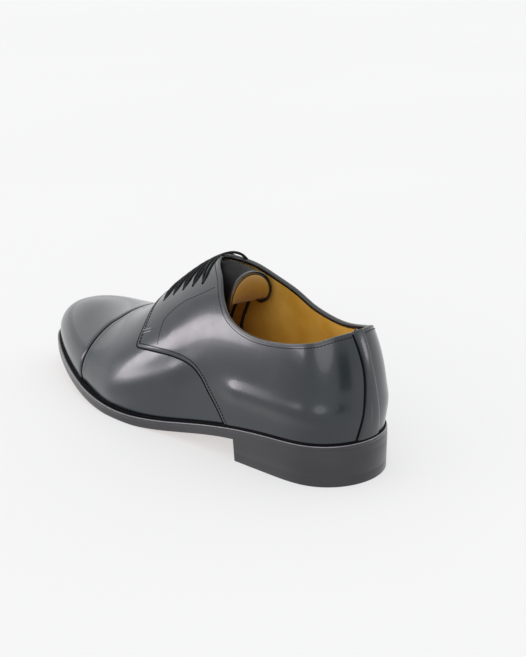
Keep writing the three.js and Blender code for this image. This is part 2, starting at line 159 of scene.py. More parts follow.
# Edges seen from the side: distance from the heel back as a share of the last's length, and
# height over the feather edge as a share of the instep height
COLLAR = {
    -1: ((-0.02, 0.625), (0.033, 0.615), (0.066, 0.58), (0.105, 0.563), (0.15, 0.553), (0.195, 0.558),
         (0.24, 0.59), (0.282, 0.655), (0.312, 0.745), (0.344, 0.865), (0.383, 0.937), (0.42, 0.975)),
    1: ((-0.02, 0.625), (0.033, 0.615), (0.066, 0.57), (0.1, 0.54), (0.145, 0.525), (0.185, 0.545),
        (0.232, 0.605), (0.276, 0.705), (0.322, 0.79), (0.366, 0.872), (0.407, 0.928), (0.425, 0.965)),
}
QUARTER_SEAM = ((0.268, -0.08), (0.281, 0.012), (0.298, 0.115), (0.319, 0.208), (0.342, 0.302),
                (0.372, 0.372), (0.426, 0.418), (0.489, 0.434), (0.545, 0.432))
FACING_FRONT = ((0.545, 0.432), (0.546, 0.522), (0.551, 0.6), (0.566, 0.69), (0.578, 0.8))
CAP_SEAM = ((0.764, -0.08), (0.758, 0.07), (0.752, 0.162), (0.745, 0.243), (0.737, 0.32),
            (0.727, 0.39), (0.714, 0.44), (0.706, 0.55))

# Stitched rows in the side view: y and z in millimetres
EYESTAY_ROW = ((104.3, 97.2), (116.7, 90.5), (130.3, 83.1), (142.4, 72.2), (143.5, 64), (142.4, 56.1))
BAR_TACKS = (((153.9, 62.9), (162.2, 59.7)), ((152.9, 61.6), (160.9, 58.4)))

# The tongue, which closes into a narrow arch behind the facings
TONGUE_THICKNESS = 2.2
TONGUE_START = 180
TONGUE_END = 100.5
ARCH_START = 138
ARCH_X = 1.5
ARCH_HEIGHT = 85.8
ARCH_RADIUS = 15.9
ARCH_LEGS = {-1: 11, 1: 8}
PAD_BULGE = 4.5
PAD_LIFT = {-1: 7.5, 1: 2.0}
END_ROUNDING = 8

# The lace ends hang down the inner lining. Points are metres in the frame of the part.
LACE_END_ROUTE = (
    (0.0208, 0.0833, 0.0826),
    (0.0211, 0.0841, 0.0802),
    (0.0214, 0.0852, 0.0774),
    (0.0216, 0.0866, 0.0744),
    (0.0218, 0.0884, 0.0712),
    (0.0220, 0.0904, 0.0678),
    (0.0223, 0.0926, 0.0642),
    (0.0228, 0.0948, 0.0602),
    (0.0235, 0.0968, 0.0558),
    (0.0243, 0.0984, 0.0510),
    (0.0250, 0.0995, 0.0460),
    (0.0255, 0.1000, 0.0408),
    (0.0256, 0.1000, 0.0354),
    (0.0253, 0.0995, 0.0300),
    (0.0246, 0.0987, 0.0248),
    (0.0236, 0.0978, 0.0198),
)
LACE_END_SHIFT = {"rear": (0, 0, 0), "front": (0.0021, 0.0155, -0.0062)}


# The camera keeps the photograph's angle to the shoe, in degrees
AZIMUTH = -39.051
ELEVATION = 19.912


def aim(azimuth, elevation):
    """The direction from the shoe to a camera at that azimuth and elevation"""
    a, e = math.radians(azimuth), math.radians(elevation)
    return Vector((math.sin(a) * math.cos(e), -math.cos(a) * math.cos(e), math.sin(e)))


def make_camera():
    target = Vector((0, 0.102, 0.04))
    distance = 0.86438
    roll = math.radians(-1.976)
    back = aim(AZIMUTH - 2.433, ELEVATION - 1.041)
    right = Vector((0, 0, 1)).cross(back).normalized()
    up = back.cross(right)
    side = math.cos(roll) * right + math.sin(roll) * up
    top = math.cos(roll) * up - math.sin(roll) * right
    data = bpy.data.cameras.new("camera")
    camera = bpy.data.objects.new("camera", data)
    bpy.context.scene.collection.objects.link(camera)
    turn = Matrix((side, top, back)).transposed().to_4x4()
    camera.matrix_world = Matrix.Translation(target + distance * aim(AZIMUTH, ELEVATION)) @ turn
    data.sensor_fit = "VERTICAL"
    data.sensor_height = 36
    data.sensor_width = 36
    data.lens = 75.36
    data.clip_start = 0.01
    data.clip_end = 50
    bpy.context.scene.camera = camera


# Materials
def linear(text):
    """An sRGB hex colour as linear numbers"""
    parts = [int(text[i:i + 2], 16) / 255 for i in (1, 3, 5)]
    return [p / 12.92 if p <= 0.04045 else ((p + 0.055) / 1.055) ** 2.4 for p in parts] + [1]


def add(tree, kind, settings, inputs):
    """Adds one node. An input given as a socket is linked, and any other is its value."""
    made = tree.nodes.new(kind)
    for key, value in settings.items():
        setattr(made, key, value)
    for key, value in inputs.items():
        if isinstance(value, bpy.types.NodeSocket):
            tree.links.new(value, made.inputs[key])
        else:
            made.inputs[key].default_value = value
    return made


def reckon(tree, operation, *terms):
    """The result of one math node"""
    return add(tree, "ShaderNodeMath", {"operation": operation}, dict(enumerate(terms))).outputs["Value"]


def new_material(name, shader_values):
    material = bpy.data.materials.new(name)
    material.use_nodes = True
    tree = material.node_tree
    shader = tree.nodes["Principled BSDF"]
    for key, value in shader_values.items():
        shader.inputs[key].default_value = value
    return material, tree, shader


def per(size_mm):
    """The texture scale at which one cell or wave is that many millimetres wide"""
    return 1000 / size_mm


def two_tone(tree, source, hex_a, hex_b, low=0.35, high=0.65):
    """Colour that wanders between two shades with a noise"""
    spread = add(tree, "ShaderNodeMapRange", {}, {"Value": source, "From Min": low, "From Max": high})
    mix = add(tree, "ShaderNodeMix", {"data_type": "RGBA"}, {"Factor": spread.outputs["Result"]})
    mix.inputs[6].default_value = linear(hex_a)
    mix.inputs[7].default_value = linear(hex_b)
    return mix.outputs[2]


def leather(name, shades, rough, coat, grain_mm, grain_height, sheen=0.0, specular=0.5):
    """Leather with a fine pebble, faint pores and a finish that varies a little"""
    values = {"IOR": 1.5, "Coat Weight": coat[0], "Coat Roughness": coat[1], "Sheen Weight": sheen,
              "Specular IOR Level": specular}
    material, tree, shader = new_material(name, values)
    place = add(tree, "ShaderNodeTexCoord", {}, {}).outputs["Object"]
    patch = add(tree, "ShaderNodeTexNoise", {}, {"Vector": place, "Scale": per(28), "Detail": 3})
    cloud = add(tree, "ShaderNodeTexNoise", {}, {"Vector": place, "Scale": per(9), "Detail": 4})
    pebble = add(tree, "ShaderNodeTexVoronoi", {"feature": "F1"},
                 {"Vector": place, "Scale": per(grain_mm)})
    pores = add(tree, "ShaderNodeTexNoise", {}, {"Vector": place, "Scale": per(grain_mm / 2), "Detail": 3})
    tone = two_tone(tree, patch.outputs["Fac"], *shades)
    gloss = add(tree, "ShaderNodeMapRange", {}, {"Value": cloud.outputs["Fac"], "From Min": 0.3,
                "From Max": 0.7, "To Min": rough[0], "To Max": rough[1]})
    relief = reckon(tree, "MULTIPLY_ADD", pores.outputs["Fac"], 0.5, pebble.outputs["Distance"])
    bump = add(tree, "ShaderNodeBump", {}, {"Height": relief, "Strength": 1,
               "Distance": grain_height / 1000})
    tree.links.new(tone, shader.inputs["Base Color"])
    tree.links.new(gloss.outputs["Result"], shader.inputs["Roughness"])
    tree.links.new(bump.outputs["Normal"], shader.inputs["Normal"])
    return material


def braid(name, shades, rough, pitch_mm):
    """A round braided cord: two sets of strands cross on its own map, u along and v round it"""
    material, tree, shader = new_material(name, {"Roughness": rough, "Sheen Weight": 0.04,
                                                 "Specular IOR Level": 0.3})
    uv = add(tree, "ShaderNodeUVMap", {}, {}).outputs["UV"]
    split = add(tree, "ShaderNodeSeparateXYZ", {}, {"Vector": uv})
    strands = []
    for way in (-1, 1):
        turn = reckon(tree, "MULTIPLY", split.outputs["Y"], 3.0 * way)
        run = reckon(tree, "MULTIPLY_ADD", split.outputs["X"], 1 / pitch_mm, turn)
        strands.append(reckon(tree, "SINE", reckon(tree, "MULTIPLY", run, 2 * math.pi)))
    both = reckon(tree, "MAXIMUM", *strands)
    tone = two_tone(tree, both, *shades, low=-0.6, high=1.0)
    bump = add(tree, "ShaderNodeBump", {}, {"Height": both, "Strength": 0.8, "Distance": 0.00012})
    tree.links.new(tone, shader.inputs["Base Color"])
    tree.links.new(bump.outputs["Normal"], shader.inputs["Normal"])
    return material


# Aniline box calf, drummed smooth and polished: near black under a clear gloss, so that it
# shows mostly what it mirrors. The real pebble is about 0.3 mm; 0.9 mm is what still shows.
calf = leather("box_calf_black", ("#0c151a", "#111b21"), (0.22, 0.28), (0.4, 0.1), 0.9, 0.006)
# The same hide folded over the edge, a little duller where it is stretched
rolled = leather("rolled_calf_edge", ("#101114", "#1b1c20"), (0.32, 0.42), (0.3, 0.2), 0.8, 0.012)
# Cut edges, the bottom of a seam and the corner over the welt, inked: matt, with little specular, and darker
# than the hide. In the seams and that corner this is partly real ink and partly painted shade for the shadow
# there.
seam_ink_and_shade = leather("seam_ink_and_painted_shade", ("#010101", "#040405"), (0.75, 0.9), (0.0, 0.3), 0.8, 0.02, 0.0, 0.12)
# Vegetable tanned calf lining, unglazed: matt, with clouds of darker tan
tan = leather("lining_calf_tan", ("#c5962c", "#dcb04c"), (0.5, 0.62), (0.05, 0.4), 1.1, 0.03, 0.1)
# The heel pocket's lining is cut from a redder skin
russet = leather("lining_calf_russet", ("#b8721f", "#cb8430"), (0.5, 0.62), (0.05, 0.4), 1.1, 0.03, 0.1)
# The tongue's lining: the tan lining painted darker, as painted shade for where it lies deep in the collar's
# shade
tan_painted_shade = leather("lining_calf_painted_shade", ("#8a6218", "#9c7526"), (0.48, 0.58), (0.08, 0.35), 1.0, 0.03, 0.1)
# Waxed edge of a stacked leather sole, inked black and burnished with a hot iron
edge_ink = leather("burnished_edge_black", ("#1b1a1f", "#232227"), (0.3, 0.4), (0.3, 0.2), 0.7, 0.008)
# The welt's rim, painted light grey and glossy: a painted highlight, the thin light line under the upper
rim_painted_highlight = leather("welt_rim_painted_highlight", ("#6c6b70", "#7a797d"), (0.2, 0.3), (0.3, 0.15), 0.7, 0.006)
# The tongue's outer face, painted matt near black with little specular: painted shade, so that it stays near
# black in the collar's shade
tongue_painted_shade = leather("tongue_calf_painted_shade", ("#050506", "#0a0a0b"), (0.55, 0.7), (0.0, 0.3), 0.9, 0.01,
                      specular=0.2)
# The welt's top face, painted matt black with little specular: painted shade for the shadow that the upper
# casts on it
welt_painted_shade = leather("welt_face_painted_shade", ("#020203", "#060607"), (0.6, 0.75), (0.0, 0.3), 0.8, 0.02, 0.0, 0.15)
# Moulded heel rubber, satin from the mould
rubber = leather("heel_rubber_black", ("#0d0d0e", "#131314"), (0.5, 0.6), (0.0, 0.3), 0.6, 0.01)
# Oak bark sole leather, sanded and left natural on the tread
tread = leather("sole_leather_natural", ("#8a5a3a", "#9c6a47"), (0.55, 0.68), (0.05, 0.4), 1.4, 0.03)
# Waxed cotton lace, braided round; a real pick is 0.5 mm, drawn at 1 mm so that it shows
lace_cotton = braid("lace_cotton_black", ("#020203", "#0b0b0d"), 0.6, 1.0)
# Spun polyester thread, sunk in its holes: no shine, so a row reads as a fine dark line
thread = leather("thread_black", ("#020202", "#060607"), (0.7, 0.85), (0.0, 0.2), 0.5, 0.01, 0.0, 0.15)
# The bar tack's thread, painted grey: a painted highlight where it catches the light
tack_painted_highlight = leather("thread_painted_highlight", ("#6d7073", "#7d8083"), (0.35, 0.45), (0.1, 0.2), 0.5, 0.01)


# The last as a surface: m is the distance along it, u runs from -1 at the outer feather
# edge over 0 at the top line to 1 at the inner feather edge
def column(name, m):
    """A row of SECTIONS as a smooth curve along the last"""
    rows = np.array(SECTIONS[name])
    step = rows[-1] - rows[-2]
    held = np.concatenate(([rows[1]], rows, [rows[-1] + step, rows[-1] + 2 * step]))
    t = np.clip(np.asarray(m, float) / HEEL_TO_TOE, 0, 1) * (len(rows) - 1)
    i = np.minimum(t.astype(int), len(rows) - 2)
    f = t - i
    before = held[i] * (1 - f) ** 3
    near = held[i + 1] * (3 * f ** 3 - 6 * f ** 2 + 4)
    far = held[i + 2] * (-3 * f ** 3 + 3 * f ** 2 + 3 * f + 1)
    return (before + near + far + held[i + 3] * f ** 3) / 6


def softplus(x):
    return HEEL_TURN * np.log1p(np.exp(np.asarray(x, float) / HEEL_TURN))


def along_at(y):
    """Distance along the last of a place given by its y"""
    y = np.asarray(y, float)
    return np.where(y < HEEL_RADIUS, HEEL_ARC * y / HEEL_RADIUS, y - HEEL_RADIUS + HEEL_ARC)


def feather_z(m):
    return SOLE_EDGE + HEEL_LIFT * column("lift", m) + TOE_SPRING * column("spring", m)


def toe_profile(m):
    spine = HEEL_RADIUS + softplus(m - HEEL_ARC)
    return np.sqrt(1 - np.clip((spine - LAST_LENGTH + TOE_DROP) / TOE_DROP, 0, 1) ** 2.4)


def last_point(m, u):
    m, u = np.broadcast_arrays(np.asarray(m, float), np.asarray(u, float))
    side = np.where(u < 0, -1, 1)
    rise = np.clip(1 - np.abs(u), 0, 1)
    turn = math.pi / 2 * softplus(HEEL_ARC - m) / softplus(HEEL_ARC)
    spine = HEEL_RADIUS + softplus(m - HEEL_ARC)
    plan = np.sqrt(1 - np.clip((spine - LAST_LENGTH + TOE_LENGTH) / TOE_LENGTH, 0, 1) ** 2.5)
    half = FOREFOOT_WIDTH * np.where(side < 0, column("outer", m), column("inner", m)) * plan
    across = np.maximum(0, np.cos(rise * math.pi / 2)) ** 0.95
    up = np.sin(rise * math.pi / 2) ** TOP_ROUND
    tuck = FEATHER_TUCK * plan * np.maximum(0, 1 - rise / TUCK_REACH) ** 3
    reach = half * across - tuck
    lean = INSTEP_LEAN * column("lean", m) * up ** 1.5
    x = TOE_SWING * column("swing", m) + lean + side * reach * np.cos(turn)
    y = spine - reach * np.sin(turn)
    z = feather_z(m) + INSTEP_HEIGHT * column("ridge", m) * toe_profile(m) * up
    return np.stack((x, y, z), axis=-1)


def unit(vectors):
    return vectors / np.maximum(1e-9, np.linalg.norm(vectors, axis=-1, keepdims=True))


def last_normal(m, u):
    m, u = np.broadcast_arrays(np.asarray(m, float), np.asarray(u, float))
    dm = np.clip((HEEL_TO_TOE - m) / 2, 1e-4, 1)
    over = m < dm
    back = last_point(np.where(over, dm - m, m - dm), u)
    back[over] *= (-1, 1, 1)
    along_last = last_point(m + dm, u) - back
    round_last = last_point(m, np.minimum(1, u + 0.01)) - last_point(m, np.maximum(-1, u - 0.01))
    normal = unit(np.cross(round_last, along_last))
    normal[m >= HEEL_TO_TOE - 1e-3] = (0, 1, 0)
    normal[m <= 1e-6, 0] = 0
    return unit(normal)


def skin(m, u, out):
    """A point that lies that far outside the last"""
    return last_point(m, u) + last_normal(m, u) * np.asarray(out, float)[..., None]


def edge_point(m, side, out, z):
    """The feather edge seen from above, moved outwards"""
    m = np.asarray(m, float)
    p = last_point(m, side)
    dm = np.maximum(1e-4, np.minimum(np.minimum(1, (HEEL_TO_TOE - m) / 2), m))
    d = last_point(m + dm, side) - last_point(m - dm, side)
    n = unit(np.stack((side * d[..., 1], -side * d[..., 0]), axis=-1))
    n[m <= 1e-6] = (0, -1)
    n[m >= HEEL_TO_TOE - 1e-6] = (0, 1)
    out = np.asarray(out, float)
    return np.stack((p[..., 0] + n[..., 0] * out, p[..., 1] + n[..., 1] * out, z + 0 * out), axis=-1)


# Lines on the last, as rows of (m, u)
def smooth_line(points, count=160):
    """A Catmull-Rom line through given points"""
    p = np.array(points, float)
    t = np.linspace(0, len(p) - 1, count)
    i = np.minimum(t.astype(int), len(p) - 2)
    f = (t - i)[:, None]
    a, b, c, d = p[np.maximum(i - 1, 0)], p[i], p[i + 1], p[np.minimum(i + 2, len(p) - 1)]
    v0, v1 = (c - a) / 2, (d - b) / 2
    return (2 * b - 2 * c + v0 + v1) * f ** 3 + (-3 * b + 3 * c - 2 * v0 - v1) * f ** 2 + v0 * f + b


def on_last(y, z, side):
    """Last coordinates of places given in the side view"""
    y, z = np.asarray(y, float), np.asarray(z, float)
    low, high = np.zeros_like(y), np.full_like(y, HEEL_TO_TOE)
    for _ in range(45):
        m = (low + high) / 2
        height = INSTEP_HEIGHT * column("ridge", m) * np.maximum(toe_profile(m), 1e-3)
        share = np.clip((z - feather_z(m)) / height, 0, 1) ** (1 / TOP_ROUND)
        u = side * (1 - np.arcsin(share) * 2 / math.pi)
        behind = last_point(m, u)[..., 1] < y
        low, high = np.where(behind, m, low), np.where(behind, high, m)
    return np.stack((m, u), axis=-1)


def side_line(table, side):
    """A table of shares in the side view as a line on the last"""
    shares = smooth_line(table)
    y = shares[:, 0] * LAST_LENGTH
    z = feather_z(along_at(np.maximum(0, y))) + shares[:, 1] * INSTEP_HEIGHT
    return on_last(y, z, side)


def run_of(points):
    """How far along a line each of its points lies"""
    return np.concatenate(([0], np.cumsum(np.linalg.norm(np.diff(points, axis=0), axis=1))))


def resampled(points, run, where):
    """The places of a line at other distances along it"""
    return np.stack([np.interp(where, run, values) for values in points.T], axis=-1)


def lengths(line):
    return run_of(last_point(*line.T))


def at_length(line, where):
    return resampled(line, lengths(line), where)


def at_share(line, share):
    return at_length(line, np.asarray(share) * lengths(line)[-1])


def joined(first, second, radius):
    """Two lines that meet, with their corner rounded"""
    run = lengths(first)[-1]
    a = at_length(first, np.linspace(0, run - radius, LINE_POINTS))
    c = at_length(second, np.linspace(radius, lengths(second)[-1], LINE_POINTS))
    corner = (first[-1] + second[0]) / 2
    t = np.linspace(0, 1, BEND_POINTS + 2)[1:-1, None]
    bend = a[-1] * (1 - t) ** 2 + corner * 2 * t * (1 - t) + c[0] * t ** 2
    return np.concatenate((a, bend, c))


def from_feather(table, side):
    """A line of the side view that starts on the feather edge"""
    line = side_line(table, side)
    line = line[np.argmax(np.abs(line[:, 1]) < 0.9999):]
    line[0, 1] = side
    return line


def feather_line(end, side, count):
    """The feather edge from the heel back on"""
    return np.stack((np.linspace(0, end, count), np.full(count, float(side))), axis=-1)


def jacobian(m, u):
    pm = (last_point(m + 0.2, u) - last_point(m - 0.2, u)) / 0.4
    pu = (last_point(m, u + 0.002) - last_point(m, u - 0.002)) / 0.004
    return pm, pu


def beside(line, distance):
    """The line moved sideways on the last, to its left seen from outside"""
    m, u = line.T
    p = last_point(m, u)
    t = unit(np.gradient(p, axis=0))
    w = np.cross(last_normal(m, u), t) * distance
    pm, pu = jacobian(m, np.clip(u, -0.997, 0.997))
    a, b, d = (pm * pm).sum(-1), (pm * pu).sum(-1), (pu * pu).sum(-1)
    e, f = (pm * w).sum(-1), (pu * w).sum(-1)
    det = a * d - b * b
    return line + np.stack(((d * e - b * f) / det, (a * f - b * e) / det), axis=-1)


# Mesh helpers
def to_frame(points):
    return (np.asarray(points, float) - (0, TREAD_CENTRE, 0)) * 0.001


def choose(piece):
    """Makes a piece the only selected and active object"""
    bpy.ops.object.select_all(action="DESELECT")
    piece.select_set(True)
    bpy.context.view_layer.objects.active = piece


def in_edit(piece, *steps):
    """Runs edit mode operators on all of a piece"""
    choose(piece)
    bpy.ops.object.mode_set(mode="EDIT")
    bpy.ops.mesh.select_all(action="SELECT")
    for step in steps:
        step()
    bpy.ops.object.mode_set(mode="OBJECT")


def merge_doubles():
    bpy.ops.mesh.remove_doubles(threshold=2e-6)


def face_outwards():
    bpy.ops.mesh.normals_make_consistent(inside=False)


def primitive(operator, **settings):
    """Adds a primitive with nothing else selected and gives its object"""
    bpy.ops.object.select_all(action="DESELECT")
    operator(**settings)
    return bpy.context.object


def lay(name, along, across, place, flip=False, closed=False):
    """A grid primitive laid in place: place gives millimetres for shares along and across it"""
    piece = primitive(bpy.ops.mesh.primitive_grid_add, x_subdivisions=along, y_subdivisions=across, size=1)
    piece.name = piece.data.name = name
    flat = np.empty(len(piece.data.vertices) * 3)
    piece.data.vertices.foreach_get("co", flat)
    shares = flat.reshape(-1, 3) + 0.5
    s = np.round(shares[:, 0] * along) / along
    t = np.round(shares[:, 1] * across) / across
    piece.data.vertices.foreach_set("co", to_frame(place(s, t)).ravel())
    steps = [merge_doubles]
    if flip:
        steps.append(bpy.ops.mesh.flip_normals)
    if closed:
        steps.append(face_outwards)
    in_edit(piece, *steps)
    return piece


def apply(piece, kind, **settings):
    choose(piece)
    modifier = piece.modifiers.new(kind.lower(), kind)
    for key, value in settings.items():
        setattr(modifier, key, value)
    bpy.ops.object.modifier_apply(modifier=modifier.name)


def bevel(piece, width):
    apply(piece, "BEVEL", width=width / 1000, segments=3, limit_method="ANGLE", angle_limit=math.radians(50))


def thicken(piece, thickness, edge):
    """Gives a sheet its thickness, inwards, and rounds its rim"""
    apply(piece, "SOLIDIFY", thickness=thickness / 1000, offset=-1, use_quality_normals=True)
    bevel(piece, edge)


def finish(piece, material, nodes=(), angle=60, more=(), where=None):
    """Gives a piece its material, smooth shading and body, and hides the CAD nodes it stands for.
    With more materials, where gives a face's number among them by its normal and its row"""
    piece.data.materials.clear()
    piece.data.materials.append(material)
    for other in more:
        piece.data.materials.append(other)
    if more:
        uv = piece.data.uv_layers.active.data if piece.data.uv_layers else None
        for face in piece.data.polygons:
            row = np.mean([uv[k].uv[1] for k in face.loop_indices]) if uv else 0
            face.material_index = int(where(face.normal, row))
    choose(piece)
    bpy.ops.object.shade_smooth_by_angle(angle=math.radians(angle))
    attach(piece, "root")
    if nodes:
        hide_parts(*nodes)
    return piece


# Rows of a panel lie close together at its edges, where seams and rolled edges are
NEAR_EDGE = np.array((0, 0.25, 0.55, 0.9, 1.3, 1.7, 2.2, 2.8, 3.5, 4.3, 5.3, 6.6))
# On the vamp, from its hidden front edge back over the trough beside the toe cap
NEAR_CAP = np.array((0, 1.6, 2.5, 2.9, 3.2, 3.45, 3.7, 4.0, 4.4, 4.9, 5.6, 6.6, 8.0, 10.0))


def panel_rows(t, rows, run):
    """The distance from the lower edge of each row of a panel whose width is run"""
    j = np.round(t * rows).astype(int)
    k = len(NEAR_EDGE) - 1
    scale = np.minimum(1, run / (2.6 * NEAR_EDGE[-1]))
    low = NEAR_EDGE[np.clip(j, 0, k)] * scale
    high = run - NEAR_EDGE[np.clip(rows - j, 0, k)] * scale
    edge = NEAR_EDGE[-1] * scale
    middle = edge + (run - 2 * edge) * np.clip((j - k) / (rows - 2 * k), 0, 1)
    return np.where(j < k, low, np.where(j > rows - k, high, middle))


def fold_down(distance, depth=0.45, width=0.8):
    """How far leather is pressed in towards a cut edge"""
    return -depth * np.exp(-np.maximum(distance, 0) / width)


# Edges of the quarters
def throat_line(side, end_y):
    """The facing's edge beside the lace gap, from the collar to the facing's front"""
    y = np.linspace(FIRST_EYELET + 6, end_y, 120)
    flare = np.clip((y - FLARE_START) / (end_y - FLARE_START), 0, 1) ** 3
    x = THROAT_X + side * (THROAT_GAP / 2 + FACING_FLARE * flare)
    m = along_at(y)
    low, high = np.full_like(m, -0.6), np.full_like(m, 0.6)
    for _ in range(40):
        u = (low + high) / 2
        less = last_point(m, u)[..., 0] < x
        low, high = np.where(less, u, low), np.where(less, high, u)
    return np.stack((m, u), axis=-1)


def quarter_lines(side):
    """The feather edge behind a quarter's seam, its lower edge, the share of that edge that is
    the seam, and its upper edge along collar and facing"""
    seam = from_feather(QUARTER_SEAM, side)
    front = side_line(FACING_FRONT, side)
    reach = THROAT_X + side * (THROAT_GAP / 2 + FACING_FLARE)
    front = front[:np.argmax((last_point(*front.T)[:, 0] - reach) * side < 0) + 1]
    throat = throat_line(side, last_point(*front[-1])[1])
    throat[-1] = front[-1]
    collar = side_line(COLLAR[side], side)
    keep = np.abs(collar[:, 1]) > np.abs(throat[0, 1]) + 0.02
    collar = np.concatenate((collar[keep], throat[:1]))
    lower = joined(seam, front, 3.0)
    split = lengths(seam)[-1] / lengths(lower)[-1]
    return feather_line(seam[0, 0], side, 120), lower, split, joined(collar, throat, 5.0)


QUARTER_LINES = {side: quarter_lines(side) for side in (-1, 1)}


# Soft swells of the lasted leather: side, y and height over the feather edge where each one
# starts and ends, how far it stands out, how wide it is and the share it holds before it fades
SWELLS = (
    (-1, (204, 5), (104, 36), 1.7, 8.5, 0.25),
    (-1, (206, 15), (112, 51), 1.6, 20.0, 0.25),
    (-1, (88, 24.3), (0, 15.8), 2.2, 6.5, 0.3),
    (1, (186, 10), (112, 34), 0.9, 9.0, 0.25),
    (1, (84, 20), (0, 15), 1.2, 8.0, 0.3),
)


def swell(m, u):
    """How far the leather stands out from the last in its soft swells"""
    place = last_point(m, u)
    y, height = place[..., 1], place[..., 2] - feather_z(m)
    out = np.zeros(y.shape)
    for side, (y0, h0), (y1, h1), stand, width, hold in SWELLS:
        run = (y - y0) / (y1 - y0)
        middle = h0 + (h1 - h0) * run
        fade = np.exp(-(np.maximum(0, np.abs(run - 0.5) - hold) / (0.46 - hold)) ** 2)
        out += (np.sign(u) == side) * stand * fade * np.exp(-((height - middle) / width) ** 2)
    return out


def quarter(side):
    feather, lower, split, upper = QUARTER_LINES[side]
    # Shares of the columns, and the places on the upper edge that they face
    knots = (0, 0.3, 0.72, 1)
    run = lengths(upper)
    facing, top = np.interp((72, FIRST_EYELET + 8), last_point(*upper.T)[:, 1], run) / run[-1]
    along, across = 230, 60

    def edges(s):
        behind = at_share(feather, np.clip(s / knots[1], 0, 1))
        ahead = at_share(lower, np.interp(s, knots[1:], (0, split, 1)))
        low = np.where((s < knots[1])[:, None], behind, ahead)
        high = at_share(upper, np.interp(s, knots, (0, facing, top, 1)))
        return low, high

    def place(s, t):
        low, high = edges(s)
        steps = np.linspace(0, 1, 9)[:, None, None]
        trail = low + (high - low) * steps
        run = np.linalg.norm(np.diff(last_point(trail[..., 0], trail[..., 1]), axis=0), axis=-1).sum(0)
        d = panel_rows(t, across, np.maximum(run, 1e-6))
        share = (d / np.maximum(run, 1e-6))[:, None]
        spot = low + (high - low) * share
        seam_side = np.where(s < knots[1], 99, d)
        return swollen(*spot.T, QUARTER_SKIN + fold_down(seam_side))

    piece = lay(f"quarter_{SIDES[side]}", along, across, place, flip=side < 0)
    thicken(piece, PANEL, 0.25)
    return piece


def swollen(m, u, out):
    """A point that far outside the last and its soft swells"""
    return skin(m, u, out + swell(m, u))


def ridge(distance, height, middle, width):
    """A soft ridge that runs beside an edge"""
    return height * np.exp(-((distance - middle) / width) ** 2)


def vamp():
    """The vamp, which runs on under the quarters and the toe cap"""
    line = np.concatenate([QUARTER_LINES[side][1] for side in SIDES])
    line = line[np.argsort(line[:, 1])]
    cap = cap_line()
    k = len(NEAR_CAP) - 1
    spread = VAMP_ROWS - k

    def place(s, t):
        u = 2 * s - 1
        rear = np.interp(u, line[:, 1], line[:, 0]) - UNDER_QUARTER
        front = np.interp(u, cap[:, 1], cap[:, 0]) + UNDER_CAP
        j = np.round(t * VAMP_ROWS)
        back = NEAR_CAP[np.clip(VAMP_ROWS - j, 0, k).astype(int)]
        even = rear + (front - NEAR_CAP[k] - rear) * np.clip(j / spread, 0, 1)
        m = np.where(j > spread, front - back, even)
        behind = front - UNDER_CAP - m
        return swollen(m, u, VAMP_SKIN - ridge(behind, *CAP_TROUGH) + ridge(behind, *CAP_PUFF))

    piece = lay("vamp", 240, VAMP_ROWS, place)
    thicken(piece, PANEL, 0.2)
    return piece


def cap_line():
    """The toe cap's rear edge from the outer feather over the top to the inner feather"""
    sides = []
    for side in SIDES:
        line = from_feather(CAP_SEAM, side)
        top = np.argmax(np.abs(line[:, 1]) < 0.02)
        sides.append(line[:top] if top else line)
    return np.concatenate((sides[0], sides[1][::-1]))


def toe_cap():
    cap = cap_line()
    k = len(NEAR_EDGE) - 1

    def place(s, t):
        u = 2 * s - 1
        rear = np.interp(u, cap[:, 1], cap[:, 0])
        j = np.round(t * CAP_ROWS).astype(int)
        ease = np.sin(np.clip((j - k) / (CAP_ROWS - k), 0, 1) * math.pi / 2)
        eased = NEAR_EDGE[k] + (HEEL_TO_TOE - rear - NEAR_EDGE[k]) * ease
        d = np.where(j < k, NEAR_EDGE[np.clip(j, 0, k)], eased)
        return skin(rear + d, u, CAP_SKIN + fold_down(d, 0.75, 1.0))

    piece = lay("toe_cap", 200, CAP_ROWS, place)
    thicken(piece, PANEL, 0.25)
    return piece


def strip_place(s, t, spare=0.0):
    """Last coordinates on the back strip and the distance from its edge. s runs across it,
    t up it, and spare widens it"""
    half = (STRIP_HALF + STRIP_FOOT * np.clip(1 - t / STRIP_WAIST, 0, 1) ** 1.7
            + STRIP_HEAD * np.clip((t - STRIP_WAIST) / (1 - STRIP_WAIST), 0, 1) ** 1.5)
    x = (2 * s - 1) * (half + spare) + STRIP_DRIFT * np.sin(t * math.pi) ** 0.7
    top = STRIP_TOP * (1 - abs(side_line(COLLAR[-1], -1)[0, 1]))
    return np.abs(x), np.where(x < 0, -1, 1) * (1 - top * t), (1 - np.abs(2 * s - 1)) * half


def back_strip():
    """Narrow strip over the heel seam, waisted at mid height, with a dark groove at its outer edge"""
    def place(s, t):
        m, u, d = strip_place(s, t)
        return swollen(m, u, STRIP_SKIN + fold_down(d, 0.7, 0.8))

    piece = lay("back_strip", 30, 50, place)
    thicken(piece, 0.7, 0.2)
    finish(piece, calf)
    m, u, _ = strip_place(0, np.linspace(0, 0.97, 80), 0.4)
    bead("strip_groove", swollen(m, u, QUARTER_SKIN + 0.15), 0.55)


# Sweeps along lines in space
def sweep(name, points, normals, profile):
    """A ribbon of a cross-section: profile is (along the normal, across the line) in millimetres"""
    count = len(points)
    across = unit(np.cross(normals, unit(np.gradient(points, axis=0))))
    shape = np.array(profile, float)

    def place(s, t):
        i = np.round(s * (count - 1)).astype(int)
        j = np.round(t * (len(shape) - 1)).astype(int)
        return points[i] + normals[i] * shape[j, :1] + across[i] * shape[j, 1:]

    return lay(name, count - 1, len(shape) - 1, place, closed=True)


